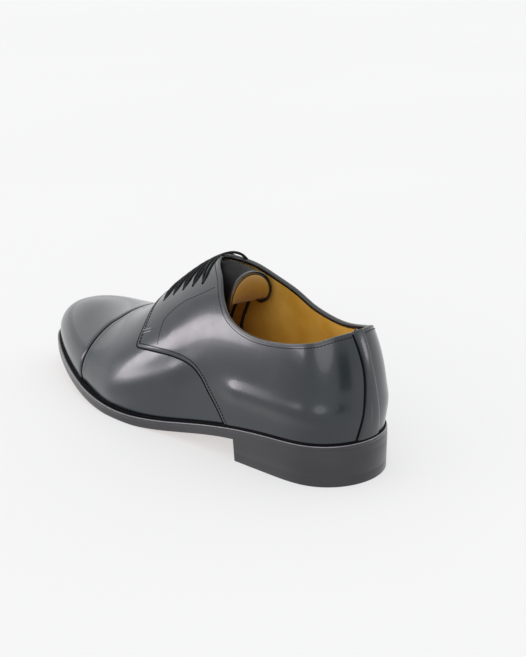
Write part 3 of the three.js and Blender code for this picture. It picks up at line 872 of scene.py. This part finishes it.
def tube(name, points, radius, sides=14, end_rings=4):
    """A round cord with rounded ends. Its map runs in millimetres along it, and from 0 to 1 round it"""
    points = np.asarray(points, float)
    run = run_of(points)
    turn = np.linspace(0, math.pi / 2, end_rings + 1)
    bend, ease = radius * np.sin(turn)[:-1], radius * (1 - np.cos(turn))[:-1]
    body = np.linspace(radius, run[-1] - radius, max(8, int(run[-1] / 0.7)))
    where = np.concatenate((ease, body, run[-1] - ease[::-1]))
    size = np.concatenate((bend, np.full(len(body), radius), bend[::-1]))
    centre = resampled(points, run, where)
    along = unit(np.gradient(centre, axis=0))
    first = [unit(np.cross(along[0], (0.3, 0.5, 0.8)))]
    for k in range(1, len(centre)):
        first.append(unit(first[-1] - along[k] * np.dot(first[-1], along[k])))
    first = np.array(first)
    second = np.cross(along, first)

    def place(s, t):
        i = np.round(s * (len(centre) - 1)).astype(int)
        angle = 2 * math.pi * t
        ring = first[i] * np.cos(angle)[:, None] + second[i] * np.sin(angle)[:, None]
        return centre[i] + ring * size[i][:, None]

    piece = lay(name, len(centre) - 1, sides, place, closed=True)
    uv = piece.data.uv_layers.active.data
    flat = np.empty(len(uv) * 2)
    uv.foreach_get("uv", flat)
    flat[::2] = np.interp(flat[::2], np.linspace(0, 1, len(where)), where)
    uv.foreach_set("uv", flat)
    return piece


def bead(name, points, radius):
    """The dark bottom of a seam: a thin black bead that lies in it, partly ink and partly painted shade for
    the shadow in the groove
    """
    return finish(tube(name, points, radius, 8, 2), seam_ink_and_shade)


def smooth_route(points, step):
    """Points about a step apart on a smooth line through a route"""
    dense = smooth_line(points, 40 * len(points))
    run = run_of(dense)
    return resampled(dense, run, np.linspace(0, run[-1], max(8, int(run[-1] / step))))


def stitch_shape():
    """One stitch: a low thread loop 1 long, 1 wide and 1 high, modelled once and copied"""
    piece = primitive(bpy.ops.mesh.primitive_uv_sphere_add, segments=8, ring_count=6, radius=0.5)
    turn = {"value": math.pi / 2, "orient_axis": "Y", "center_override": (0, 0, 0)}
    in_edit(piece, lambda: bpy.ops.transform.rotate(**turn))
    points = np.array([v.co for v in piece.data.vertices])
    faces = [tuple(p.vertices) for p in piece.data.polygons]
    bpy.data.objects.remove(piece)
    return points, faces


STITCH = stitch_shape()


def stitches(name, line, pitch, width, height):
    """A row of stitches laid along a line on the quarters, sunk by half their height"""
    run = lengths(line)[-1]
    count = max(2, int(run / pitch))
    centres, ends = (at_length(line, (np.arange(count) + k) * run / count) for k in (0.5, 0.9))
    p, q = (swollen(*spots.T, QUARTER_SKIN + 0.04) for spots in (centres, ends))
    n = last_normal(*centres.T)
    along = unit(q - p)
    across = unit(np.cross(n, along))
    shape, faces = STITCH
    points = (p[:, None] + along[:, None] * shape[None, :, :1] * (pitch * STITCH_SHARE)
              + across[:, None] * shape[None, :, 1:2] * width + n[:, None] * shape[None, :, 2:] * height)
    every = [tuple(v + k * len(shape) for v in f) for k in range(count) for f in faces]
    mesh = bpy.data.meshes.new(name)
    mesh.from_pydata(to_frame(points.reshape(-1, 3)).tolist(), [], every)
    piece = bpy.data.objects.new(name, mesh)
    bpy.context.scene.collection.objects.link(piece)
    in_edit(piece, face_outwards)
    return finish(piece, thread)


def groove(name, line, out, radius):
    """The dark bottom of a seam that follows a line on the last"""
    return bead(name, swollen(*at_share(line, np.linspace(0, 1, 260)).T, out), radius)


def eyestay_line(side):
    """The row that runs beside the eyelets and down to the facing's front"""
    return on_last(*smooth_line(EYESTAY_ROW).T, side)


def bar_tack(side, name):
    """Two short bars of thread across the seam, where the facing opens"""
    for k, ends in enumerate(BAR_TACKS):
        spot = on_last(*np.linspace(*ends, 9).T, side)
        bar = tube(f"bar_tack_{k + 1}_{name}", swollen(*spot.T, QUARTER_SKIN + 0.1), TACK_RADIUS, 8, 3)
        finish(bar, tack_painted_highlight)


# Pieces of the upper
def eyelet_places(side):
    m = along_at(FIRST_EYELET + EYELET_PITCH * np.arange(EYELETS))
    return m, np.full(EYELETS, side * EYELET_REACH)


def punch(pieces, side):
    """Punches the eyelets through leather and lining with one set of drills"""
    m, u = eyelet_places(side)
    drills = []
    for place, normal in zip(to_frame(last_point(m, u)), last_normal(m, u)):
        turn = Vector((0, 0, 1)).rotation_difference(Vector(normal)).to_euler()
        drills.append(primitive(bpy.ops.mesh.primitive_cylinder_add, vertices=24, depth=0.012,
                                radius=EYELET_RADIUS / 1000, location=place, rotation=turn))
    for drill in drills:
        drill.select_set(True)
    bpy.context.view_layer.objects.active = drills[0]
    bpy.ops.object.join()
    cutter = bpy.context.object
    for piece in pieces:
        apply(piece, "BOOLEAN", operation="DIFFERENCE", object=cutter, solver="EXACT")
    bpy.data.objects.remove(cutter)


def lining_top(side):
    """The linings' upper edge, a little below the collar's"""
    return beside(QUARTER_LINES[side][3], -LINING_DROP * side)


def lining_quarter(side):
    """Tan lining of one side, from the heel to the facing's front, up to the collar"""
    upper = lining_top(side)
    floor = feather_line(along_at(LINING_FRONT), side, 160)

    def place(s, t):
        low, high = at_share(floor, s), at_share(upper, s)
        return skin(*(low + (high - low) * t[:, None]).T, LINING_SKIN + LINING)

    piece = lay(f"lining_{SIDES[side]}", 150, 40, place, flip=side < 0)
    thicken(piece, LINING, 0.15)
    return piece


def lining_vamp():
    start = float(along_at(VAMP_LINING_START))

    def place(s, t):
        m = start + (HEEL_TO_TOE - 2 - start) * np.sin(t * math.pi / 2)
        return skin(m, 2 * s - 1, LINING_SKIN + LINING)

    piece = lay("lining_vamp", 80, 50, place, flip=True)
    thicken(piece, 0.6, 0.1)
    return piece


def heel_lining():
    """Russet heel pocket over the side linings"""
    lines = [lining_top(side) for side in SIDES]

    def place(s, t):
        x = (2 * s - 1) * POCKET_REACH
        m, side = np.abs(x), np.where(x < 0, -1, 1)
        tops = [np.interp(m, line[:, 0], np.abs(line[:, 1])) for line in lines]
        return skin(m, side * (1 - t * (1 - np.where(side < 0, *tops))), LINING_SKIN + 0.05)

    piece = lay("lining_heel", 60, 40, place)
    thicken(piece, 0.55, 0.15)
    return piece


def collar_path():
    """The edge from the outer facing's front round the heel to the inner facing's front"""
    outer, inner = (at_share(QUARTER_LINES[side][3], np.linspace(0, 1, 260)) for side in SIDES)
    line = np.concatenate((outer[::-1], inner[1:]))
    return last_point(*line.T), last_normal(*line.T)


def half_round(middle, radius, height, drop):
    """The round of a rolled edge's cross-section, from outside to inside"""
    turns = [math.pi * k / 8 for k in range(9)]
    return [(middle + radius * math.cos(a), height * math.sin(a) - drop) for a in turns]


def collar_roll():
    """Calf rolled over the collar and facing edges and turned down inside"""
    outside, inside = QUARTER_SKIN + 0.02, LINING_SKIN - 0.06
    middle, radius = (outside + inside) / 2, (outside - inside) / 2
    profile = [(outside - 0.06, -1.3), (outside, -1.1), *half_round(middle, radius, 0.75 * radius, 0.6),
               (inside, -2.0), (inside + 0.3, -2.2), (middle, -2.2)]
    return sweep("collar_roll", *collar_path(), profile)


# The tongue
def tongue_point(s, w):
    s, w = np.broadcast_arrays(np.asarray(s, float), np.asarray(w, float))
    end = TONGUE_END + END_ROUNDING * w ** 6
    y = TONGUE_START + (end - TONGUE_START) * s
    k = np.clip(2 * s, 0, 1)
    spread = 0.3 + 0.14 * k ** 2 * (3 - 2 * k)
    under = -LINING_SKIN + FIT + TONGUE_THICKNESS / 2 + 0.2
    flat = skin(along_at(y), w * spread, np.full(s.shape, -under))
    leg = np.where(w < 0, ARCH_LEGS[-1], ARCH_LEGS[1])
    quarter_turn = ARCH_RADIUS * math.pi / 2
    run = np.abs(w) * (quarter_turn + leg)
    angle = np.minimum(run, quarter_turn) / ARCH_RADIUS
    arch = np.stack((ARCH_X + np.sign(w) * ARCH_RADIUS * np.sin(angle), y,
                     ARCH_HEIGHT + ARCH_RADIUS * np.cos(angle) - np.maximum(0, run - quarter_turn)), axis=-1)
    f = np.clip((ARCH_START - y) / (ARCH_START - TONGUE_END), 0, 1)
    f = (f * f * (3 - 2 * f))[..., None]
    return flat * (1 - f) + arch * f


def tongue_normal(s, w):
    step = 0.01
    ds = tongue_point(np.minimum(1, s + step), w) - tongue_point(np.maximum(0, s - step), w)
    dw = tongue_point(s, np.minimum(1, w + step)) - tongue_point(s, np.maximum(-1, w - step))
    return unit(np.cross(ds, dw))


def tongue_sheet(name, out):
    def place(s, t):
        w = 2 * t - 1
        return tongue_point(s, w) + tongue_normal(s, w) * out

    piece = lay(name, 90, 50, place)
    thicken(piece, 1.0, 0.2)
    return piece


def tongue():
    """The tongue's leather and lining, and the binding round its end"""
    leather_side = tongue_sheet("tongue", TONGUE_THICKNESS / 2)
    lining_side = tongue_sheet("tongue_lining", -0.1)
    side = np.concatenate((np.linspace(0.25, 1, 90), np.ones(80), np.linspace(1, 0.25, 90)))
    w = np.concatenate((np.full(90, -1.0), np.linspace(-1, 1, 82)[1:-1], np.full(90, 1.0)))
    points, normals = tongue_point(side, w), tongue_normal(side, w)
    for _ in range(6):
        points[1:-1] = (points[:-2] + 2 * points[1:-1] + points[2:]) / 4
    thick = TONGUE_THICKNESS / 2 + 0.1
    profile = [(thick - 0.3, -2.0), (thick, -1.7), *half_round(0, thick, 0.7, 0),
               (-thick, -1.7), (0.3 - thick, -2.0), (0, -2.0)]
    rim = sweep("tongue_binding", points, normals, profile)
    finish(leather_side, tongue_painted_shade, ["tongue"])
    finish(lining_side, tan_painted_shade)
    finish(rim, rolled)


def tongue_pad():
    """The padded end that fills the tongue's arch and bulges towards the heel"""
    def place(s, t):
        w = 2 * t - 1
        rim = tongue_point(1, w) + tongue_normal(1, w) * 0.1 - (0, 0.5, 0)
        left, right = (tongue_point(1, end).reshape(3) + (0, -0.5, PAD_LIFT[end]) for end in (-1, 1))
        floor = left + (right - left) * t[:, None]
        floor[:, 2] -= 1.0 * np.sin(math.pi * t)
        spot = floor + (rim - floor) * s[:, None]
        swollen = np.sin(math.pi * np.clip(s, 0, 1)) * np.sin(math.pi * t)
        spot[:, 1] -= PAD_BULGE * np.sqrt(np.maximum(0, swollen))
        return spot

    piece = lay("tongue_pad", 40, 60, place, flip=True)
    thicken(piece, 0.8, 0.2)
    finish(piece, tan_painted_shade)


# Sole and heel
def ring_share(t):
    """Goes from the heel back along the outer side to the toe, and back along the inner side"""
    k = np.where(t <= 0.5, 2 * t, 2 - 2 * t)
    m = HEEL_TO_TOE * (0.5 - 0.5 * np.cos(math.pi * k)) * 0.5 + HEEL_TO_TOE * k * 0.5
    return m, np.where(t <= 0.5, -1, 1)


def rounded(high, radius, count=5):
    """A rounded upper outer corner, from its inner point to its lowest: (out, height) pairs"""
    turns = [math.pi / 2 * (1 - k / count) for k in range(count + 1)]
    return [(radius * (math.cos(a) - 1), high + radius * (math.sin(a) - 1)) for a in turns]


def rimmed(name, reach, profile):
    """A closed band round the sole: profile gives (out, z) at each m"""
    shape = np.array(profile)

    def place(s, t):
        m, side = ring_share(s)
        out, z = shape[np.round(t * len(shape)).astype(int) % len(shape)].T
        result = np.zeros((len(s), 3))
        for way in SIDES:
            pick = side == way
            result[pick] = edge_point(m[pick], way, reach(m[pick]) + out[pick], 0)
            result[pick, 2] = feather_z(m[pick]) + z[pick]
        return result

    return lay(name, 300, len(shape), place, closed=True)


def welt_reach(m):
    return WELT_WIDTH * column("welt", m)


def welt():
    top, bottom = -FIT, -FIT - WELT_THICKNESS
    profile = rounded(top, 0.5) + [(0, bottom + 0.05), (-0.05, bottom), (-9, bottom), (-9, top),
                                   (-1.3, top)]
    return rimmed("welt", welt_reach, profile)


def welt_face(normal, row):
    """Which of the welt's materials a face has: its top face in painted shade, its rounded rim in painted
    highlight, or the rest
    """
    if 0.7 < row < 0.9:
        return 1
    return 2 if row < 0.34 and normal.z > 0.2 else 0


def corner_shade_bead():
    """A black bead in the corner between upper and welt: painted shade for the shadow in that corner"""
    ways = []
    for side, m in ((-1, stations(200)), (1, stations(200)[::-1][1:-1])):
        line = edge_point(m, side, np.full(len(m), CREASE_OUT), 0)
        line[:, 2] = feather_z(m) + CREASE_RISE
        ways.append(line)
    ring = np.concatenate(ways)
    along = unit(np.roll(ring, -1, axis=0) - np.roll(ring, 1, axis=0))
    out = unit(np.cross(along, (0, 0, -1)))
    up = np.array((0, 0, CREASE_RADIUS))

    def place(s, t):
        i = np.round(s * len(ring)).astype(int) % len(ring)
        angle = 2 * math.pi * t[:, None]
        return ring[i] + out[i] * CREASE_RADIUS * np.cos(angle) + up * np.sin(angle)

    return lay("upper_crease_painted_shade", len(ring), 10, place, closed=True)


def stations(count):
    k = np.linspace(0, 1, count)
    return HEEL_TO_TOE * (0.5 * k + 0.5 * (0.5 - 0.5 * np.cos(math.pi * k)))


def slab(name, reach, top, bottom, radii, along=220):
    """A sole layer: rows across it from the outer edge to the inner, closed round its rim.
    radii gives how round the rim's two corners are at each m"""
    m_row = stations(along + 1)
    corner = 4
    arc = [math.pi / 2 * k / corner for k in range(corner + 1)]
    inner_shares = (0.0, 0.35, 0.7, 0.9)
    rows = [("flat", share, "top") for share in inner_shares]
    rows += [("arc", a, "top") for a in arc]
    rows += [("arc", a, "bottom") for a in arc[::-1]]
    rows += [("flat", share, "bottom") for share in inner_shares[::-1]]
    count = 2 * len(rows)

    def place(s, t):
        i = np.round(s * along).astype(int)
        j = np.round(t * count).astype(int) % count
        m = m_row[i]
        result = np.zeros((len(s), 3))
        inset = np.maximum(radii["top"](m), radii["bottom"](m))
        middle = (edge_point(m, -1, reach(m) - inset, 0) + edge_point(m, 1, reach(m) - inset, 0)) / 2
        for way in (-1, 1):
            for k, (kind, value, face) in enumerate(rows):
                index = k if way < 0 else count - 1 - k
                pick = j == index
                if not pick.any():
                    continue
                mm = m[pick]
                level = top(mm) if face == "top" else bottom(mm)
                radius = radii[face](mm)
                sign = -1 if face == "top" else 1
                if kind == "arc":
                    out = reach(mm) - radius + radius * math.sin(value)
                    z = level + sign * radius * (1 - math.cos(value))
                    result[pick] = edge_point(mm, way, out, 0)
                    result[pick, 2] = z
                else:
                    rim = edge_point(mm, way, reach(mm) - radius, 0)
                    result[pick] = middle[pick] + (rim - middle[pick]) * value
                    result[pick, 2] = level
        return result

    return lay(name, along, count, place, closed=True)


def sole_top(m):
    return feather_z(m) - FIT - WELT_THICKNESS - 0.05


def sole_bottom(m):
    return np.maximum(0, feather_z(m) - SOLE_EDGE)


def outsole():
    radii = {"top": lambda m: SOLE_CORNER + 0 * m,
             "bottom": lambda m: SOLE_CORNER + 0.6 * np.clip((m - along_at(HEEL_BREAST)) / 12, 0, 1)}
    return slab("outsole", welt_reach, sole_top, sole_bottom, radii)


def insole():
    return slab("insole", lambda m: np.full_like(m, -INSOLE_INSET), lambda m: feather_z(m) + INSOLE_TOP,
                lambda m: feather_z(m) + INSOLE_BOTTOM,
                dict.fromkeys(("top", "bottom"), lambda m: 0.6 + 0 * m), along=160)


def heel_outline(out, count=120):
    """The heel in plan: round the back from breast to breast, then the hollow breast"""
    end = float(along_at(HEEL_BREAST))
    m = end * np.sin(np.linspace(0, 1, count) * math.pi / 2) ** 0.9
    outer = edge_point(m[::-1], -1, welt_reach(m[::-1]) - out, 0)
    inner = edge_point(m[1:], 1, welt_reach(m[1:]) - out, 0)
    x = np.linspace(inner[-1, 0], outer[0, 0], 40)[1:-1]
    wide = abs(inner[-1, 0])
    y = HEEL_BREAST - BREAST_HOLLOW * (1 - (x / wide) ** 2)
    breast = np.stack((x, y, 0 * x), axis=-1)
    return np.concatenate((outer, inner, breast))


def heel_part(name, low, high):
    """A slice of the heel between two heights, from its outline extruded and bevelled"""
    foot, head = heel_outline(HEEL_TAPER), heel_outline(0)
    piece = primitive(bpy.ops.mesh.primitive_circle_add, vertices=len(foot), radius=0.03, fill_type="NGON")
    piece.name = piece.data.name = name
    full = float(feather_z(0.0)) - SOLE_EDGE

    def ring(heights):
        """The outline at those heights"""
        points = foot + (head - foot) * np.clip(heights / full, 0, 1)[:, None]
        points[:, 2] = heights
        return to_frame(points)

    for vertex, place in zip(piece.data.vertices, ring(np.full(len(foot), float(low)))):
        vertex.co = place
    in_edit(piece, lambda: bpy.ops.mesh.extrude_region_move(TRANSFORM_OT_translate={"value": (0, 0, 0.01)}))
    ceiling = high(along_at(np.maximum(head[:, 1], 0)))
    for vertex, place in zip(piece.data.vertices[len(foot):], ring(ceiling)):
        vertex.co = place
    in_edit(piece, face_outwards)
    bevel(piece, HEEL_BEVEL)
    return piece


# Laces
def lace_bar(i):
    """Two strands that come up through one eyelet, part a little and go down the other. The
    first bar bows further forward, and its strands lie closer together on the inner side"""
    m0 = float(eyelet_places(1)[0][i])
    radius = TIGHT_LACE / 2
    clear = QUARTER_SKIN + 0.7 * radius
    forward = FIRST_BOW if i == 0 else BOW
    strands = []
    for way, name in ((-1, "rear"), (1, "front")):
        route = []
        for share in np.linspace(0, 1, 17)[1:-1]:
            far = min(1, max(0, share - 0.45) / 0.3) if i == 0 else 0
            part = abs(math.sin(share * 2 * math.pi)) ** 0.6 * (1 - far)
            bow = forward * math.sin(share * math.pi) * (1 - 0.8 * far)
            m = m0 + way * STRAND_SPREAD * (0.27 + 0.73 * part) + bow
            u = EYELET_REACH * (2 * share - 1) * 0.985
            route.append(skin(m, u, clear - 0.45 * far).reshape(3))
        holes = [[skin(m0 + way * 0.5, end * (EYELET_REACH - 0.004), out).reshape(3) for out in HOLE_STEPS]
                 for end in SIDES]
        points = holes[0] + route + holes[1][::-1]
        strands.append(tube(f"lace_{i + 1}_{name}", smooth_route(points, 0.6), radius))
    for strand in strands:
        finish(strand, lace_cotton, [f"lace_bar_{i + 1}"])


def lace_end(which):
    """A free lace end, which hangs from under the tongue down the inner lining"""
    route = [tuple(a + b for a, b in zip(p, LACE_END_SHIFT[which])) for p in LACE_END_ROUTE]
    points = np.array(route) * 1000 + (0, TREAD_CENTRE, 0)
    dense = smooth_route(points, 0.8)
    piece = tube(f"lace_end_{which}_cord", dense, LACE / 2)
    finish(piece, lace_cotton, [f"lace_end_{which}"])
    line = to_frame(dense)


# Stage
def make_card():
    """A dull card behind the heel, out of the picture: the heel's turn mirrors it as a dark band"""
    direction = aim(-11, 0)
    turn = direction.to_track_quat("Z", "Y").to_euler()
    place = Vector((0, -0.038, 0.07)) + 0.4 * direction
    card = primitive(bpy.ops.mesh.primitive_plane_add, size=1, location=place, rotation=turn)
    card.name = "dull_card"
    card.scale = (0.27, 0.34, 1)
    card.visible_camera = False
    card.visible_diffuse = False
    card.visible_shadow = False
    material, tree, shader = new_material("grey_felt_card", {"Roughness": 0.95, "Specular IOR Level": 0.1})
    where = add(tree, "ShaderNodeTexCoord", {}, {}).outputs["Object"]
    split = add(tree, "ShaderNodeSeparateXYZ", {}, {"Vector": where})
    shares = []
    for axis in ("X", "Y"):
        far = reckon(tree, "ABSOLUTE", split.outputs[axis])
        shares.append(add(tree, "ShaderNodeMapRange", {"interpolation_type": "SMOOTHSTEP"},
                          {"Value": far, "From Min": 0.18, "From Max": 0.5,
                           "To Min": 1, "To Max": 0}).outputs["Result"])
    cover = reckon(tree, "MULTIPLY", *shares)
    shader.inputs["Base Color"].default_value = linear("#7a7b7e")
    tree.links.new(cover, shader.inputs["Alpha"])
    card.data.materials.append(material)
    return card


def make_stage():
    floor = primitive(bpy.ops.mesh.primitive_plane_add, size=14, location=(0, 0.1, 0))
    floor.name = "floor"
    glow = {"Emission Color": linear("#f7f7f7"), "Emission Strength": 0.6}
    material, tree, shader = new_material("lit_table", {"Roughness": 0.9, "Specular IOR Level": 0.05} | glow)
    place = add(tree, "ShaderNodeTexCoord", {}, {}).outputs["Object"]
    haze = add(tree, "ShaderNodeTexNoise", {}, {"Vector": place, "Scale": 2.0, "Detail": 2})
    tone = two_tone(tree, haze.outputs["Fac"], "#8b8b8b", "#8d8d8d")
    tree.links.new(tone, shader.inputs["Base Color"])
    floor.data.materials.append(material)
    make_card()


def hang(name, data, azimuth, elevation):
    """Puts a light in the scene that shines on the shoe from that direction"""
    light = bpy.data.objects.new(name, data)
    bpy.context.scene.collection.objects.link(light)
    light.rotation_mode = "QUATERNION"
    light.rotation_quaternion = (-aim(azimuth, elevation)).to_track_quat("-Z", "Y")
    return light


def soft_light(name, azimuth, elevation, width, brightness):
    """A round soft light far away. Its width is in degrees, and paper white has brightness 1"""
    data = bpy.data.lights.new(name, "SUN")
    data.angle = math.radians(width)
    data.energy = brightness * math.pi * math.sin(math.radians(width / 2)) ** 2
    hang(name, data, azimuth, elevation)


def soft_box(name, azimuth, elevation, wide, high, brightness, colour):
    """A softbox 3 m from the shoe. Its size is in degrees as the shoe sees it"""
    data = bpy.data.lights.new(name, "AREA")
    data.shape = "RECTANGLE"
    data.size = 6 * math.tan(math.radians(wide / 2))
    data.size_y = 6 * math.tan(math.radians(high / 2))
    data.energy = brightness * math.pi * data.size * data.size_y
    data.color = linear(colour)[:3]
    light = hang(name, data, azimuth, elevation)
    light.location = Vector((0, 0.08, 0.05)) + 3 * aim(azimuth, elevation)


def make_light():
    world = bpy.data.worlds.new("studio")
    bpy.context.scene.world = world
    world.use_nodes = True
    world.node_tree.nodes["Background"].inputs["Color"].default_value = linear("#f5f6f7")
    world.node_tree.nodes["Background"].inputs["Strength"].default_value = 0.95
    soft_light("ceiling", 150, 72, 130, 0.48)
    soft_light("camera_side", -50, 26, 44, 1.5)
    soft_box("outer_front", -139, 5, 17, 9, 8, "#fff8ff")
    soft_box("outer_strip", -111, 14, 38, 8, 5, "#fff8ff")
    soft_box("inner_rear", 44, 7, 10, 12, 5, "#fbf6ff")
    bpy.context.scene.view_settings.view_transform = "Standard"


def build_upper():
    for side, name in SIDES.items():
        leather_piece = quarter(side)
        lining_piece = lining_quarter(side)
        punch([leather_piece, lining_piece], side)
        finish(leather_piece, calf, ["upper"])
        finish(lining_piece, tan)
        _, lower, _, upper = QUARTER_LINES[side]
        groove(f"seam_groove_{name}", beside(lower, -SEAM_GROOVE_OUT * side), 0.05, 0.45)
        edges = {"seam": lower, "collar": upper, "facing": lower[LINE_POINTS + BEND_POINTS:]}
        for row, (distance, *stitch) in STITCH_ROWS.items():
            line = eyestay_line(side) if row == "eyestay" else beside(edges[row], distance * side)
            stitches(f"{row}_stitch_{name}", line, *stitch)
        bar_tack(side, name)
    groove("cap_groove", cap_line() - (CAP_GROOVE_BACK, 0), VAMP_SKIN - 0.8, 1.1)
    finish(vamp(), calf)
    finish(toe_cap(), calf)
    back_strip()
    finish(lining_vamp(), tan)
    finish(heel_lining(), russet)
    finish(collar_roll(), rolled)


def faces_down(share):
    """Picks the faces whose normal points down by more than that share"""
    return lambda normal, row: normal.z < -share


def build_sole():
    # The welt's top face is painted shade and its rim a painted highlight
    finish(welt(), edge_ink, ["welt"], more=[welt_painted_shade, rim_painted_highlight], where=welt_face)
    # A matt black bead in the corner over the welt: painted shade
    finish(corner_shade_bead(), seam_ink_and_shade)
    finish(outsole(), edge_ink, ["outsole"], more=[tread], where=faces_down(0.6))
    finish(insole(), tan, ["insole"])
    finish(heel_part("heel_block", TOP_PIECE + 0.02, lambda m: sole_bottom(m) - 0.03), edge_ink,
           ["heel_block"], 40)
    finish(heel_part("heel_top_piece", 0, lambda m: np.full_like(m, TOP_PIECE)), edge_ink,
           ["heel_top_piece"], 40, more=[rubber], where=faces_down(0.7))


make_camera()
for which in LACE_END_SHIFT:
    lace_end(which)
build_sole()
build_upper()
tongue()
tongue_pad()
for i in range(EYELETS):
    lace_bar(i)
make_stage()
make_light()
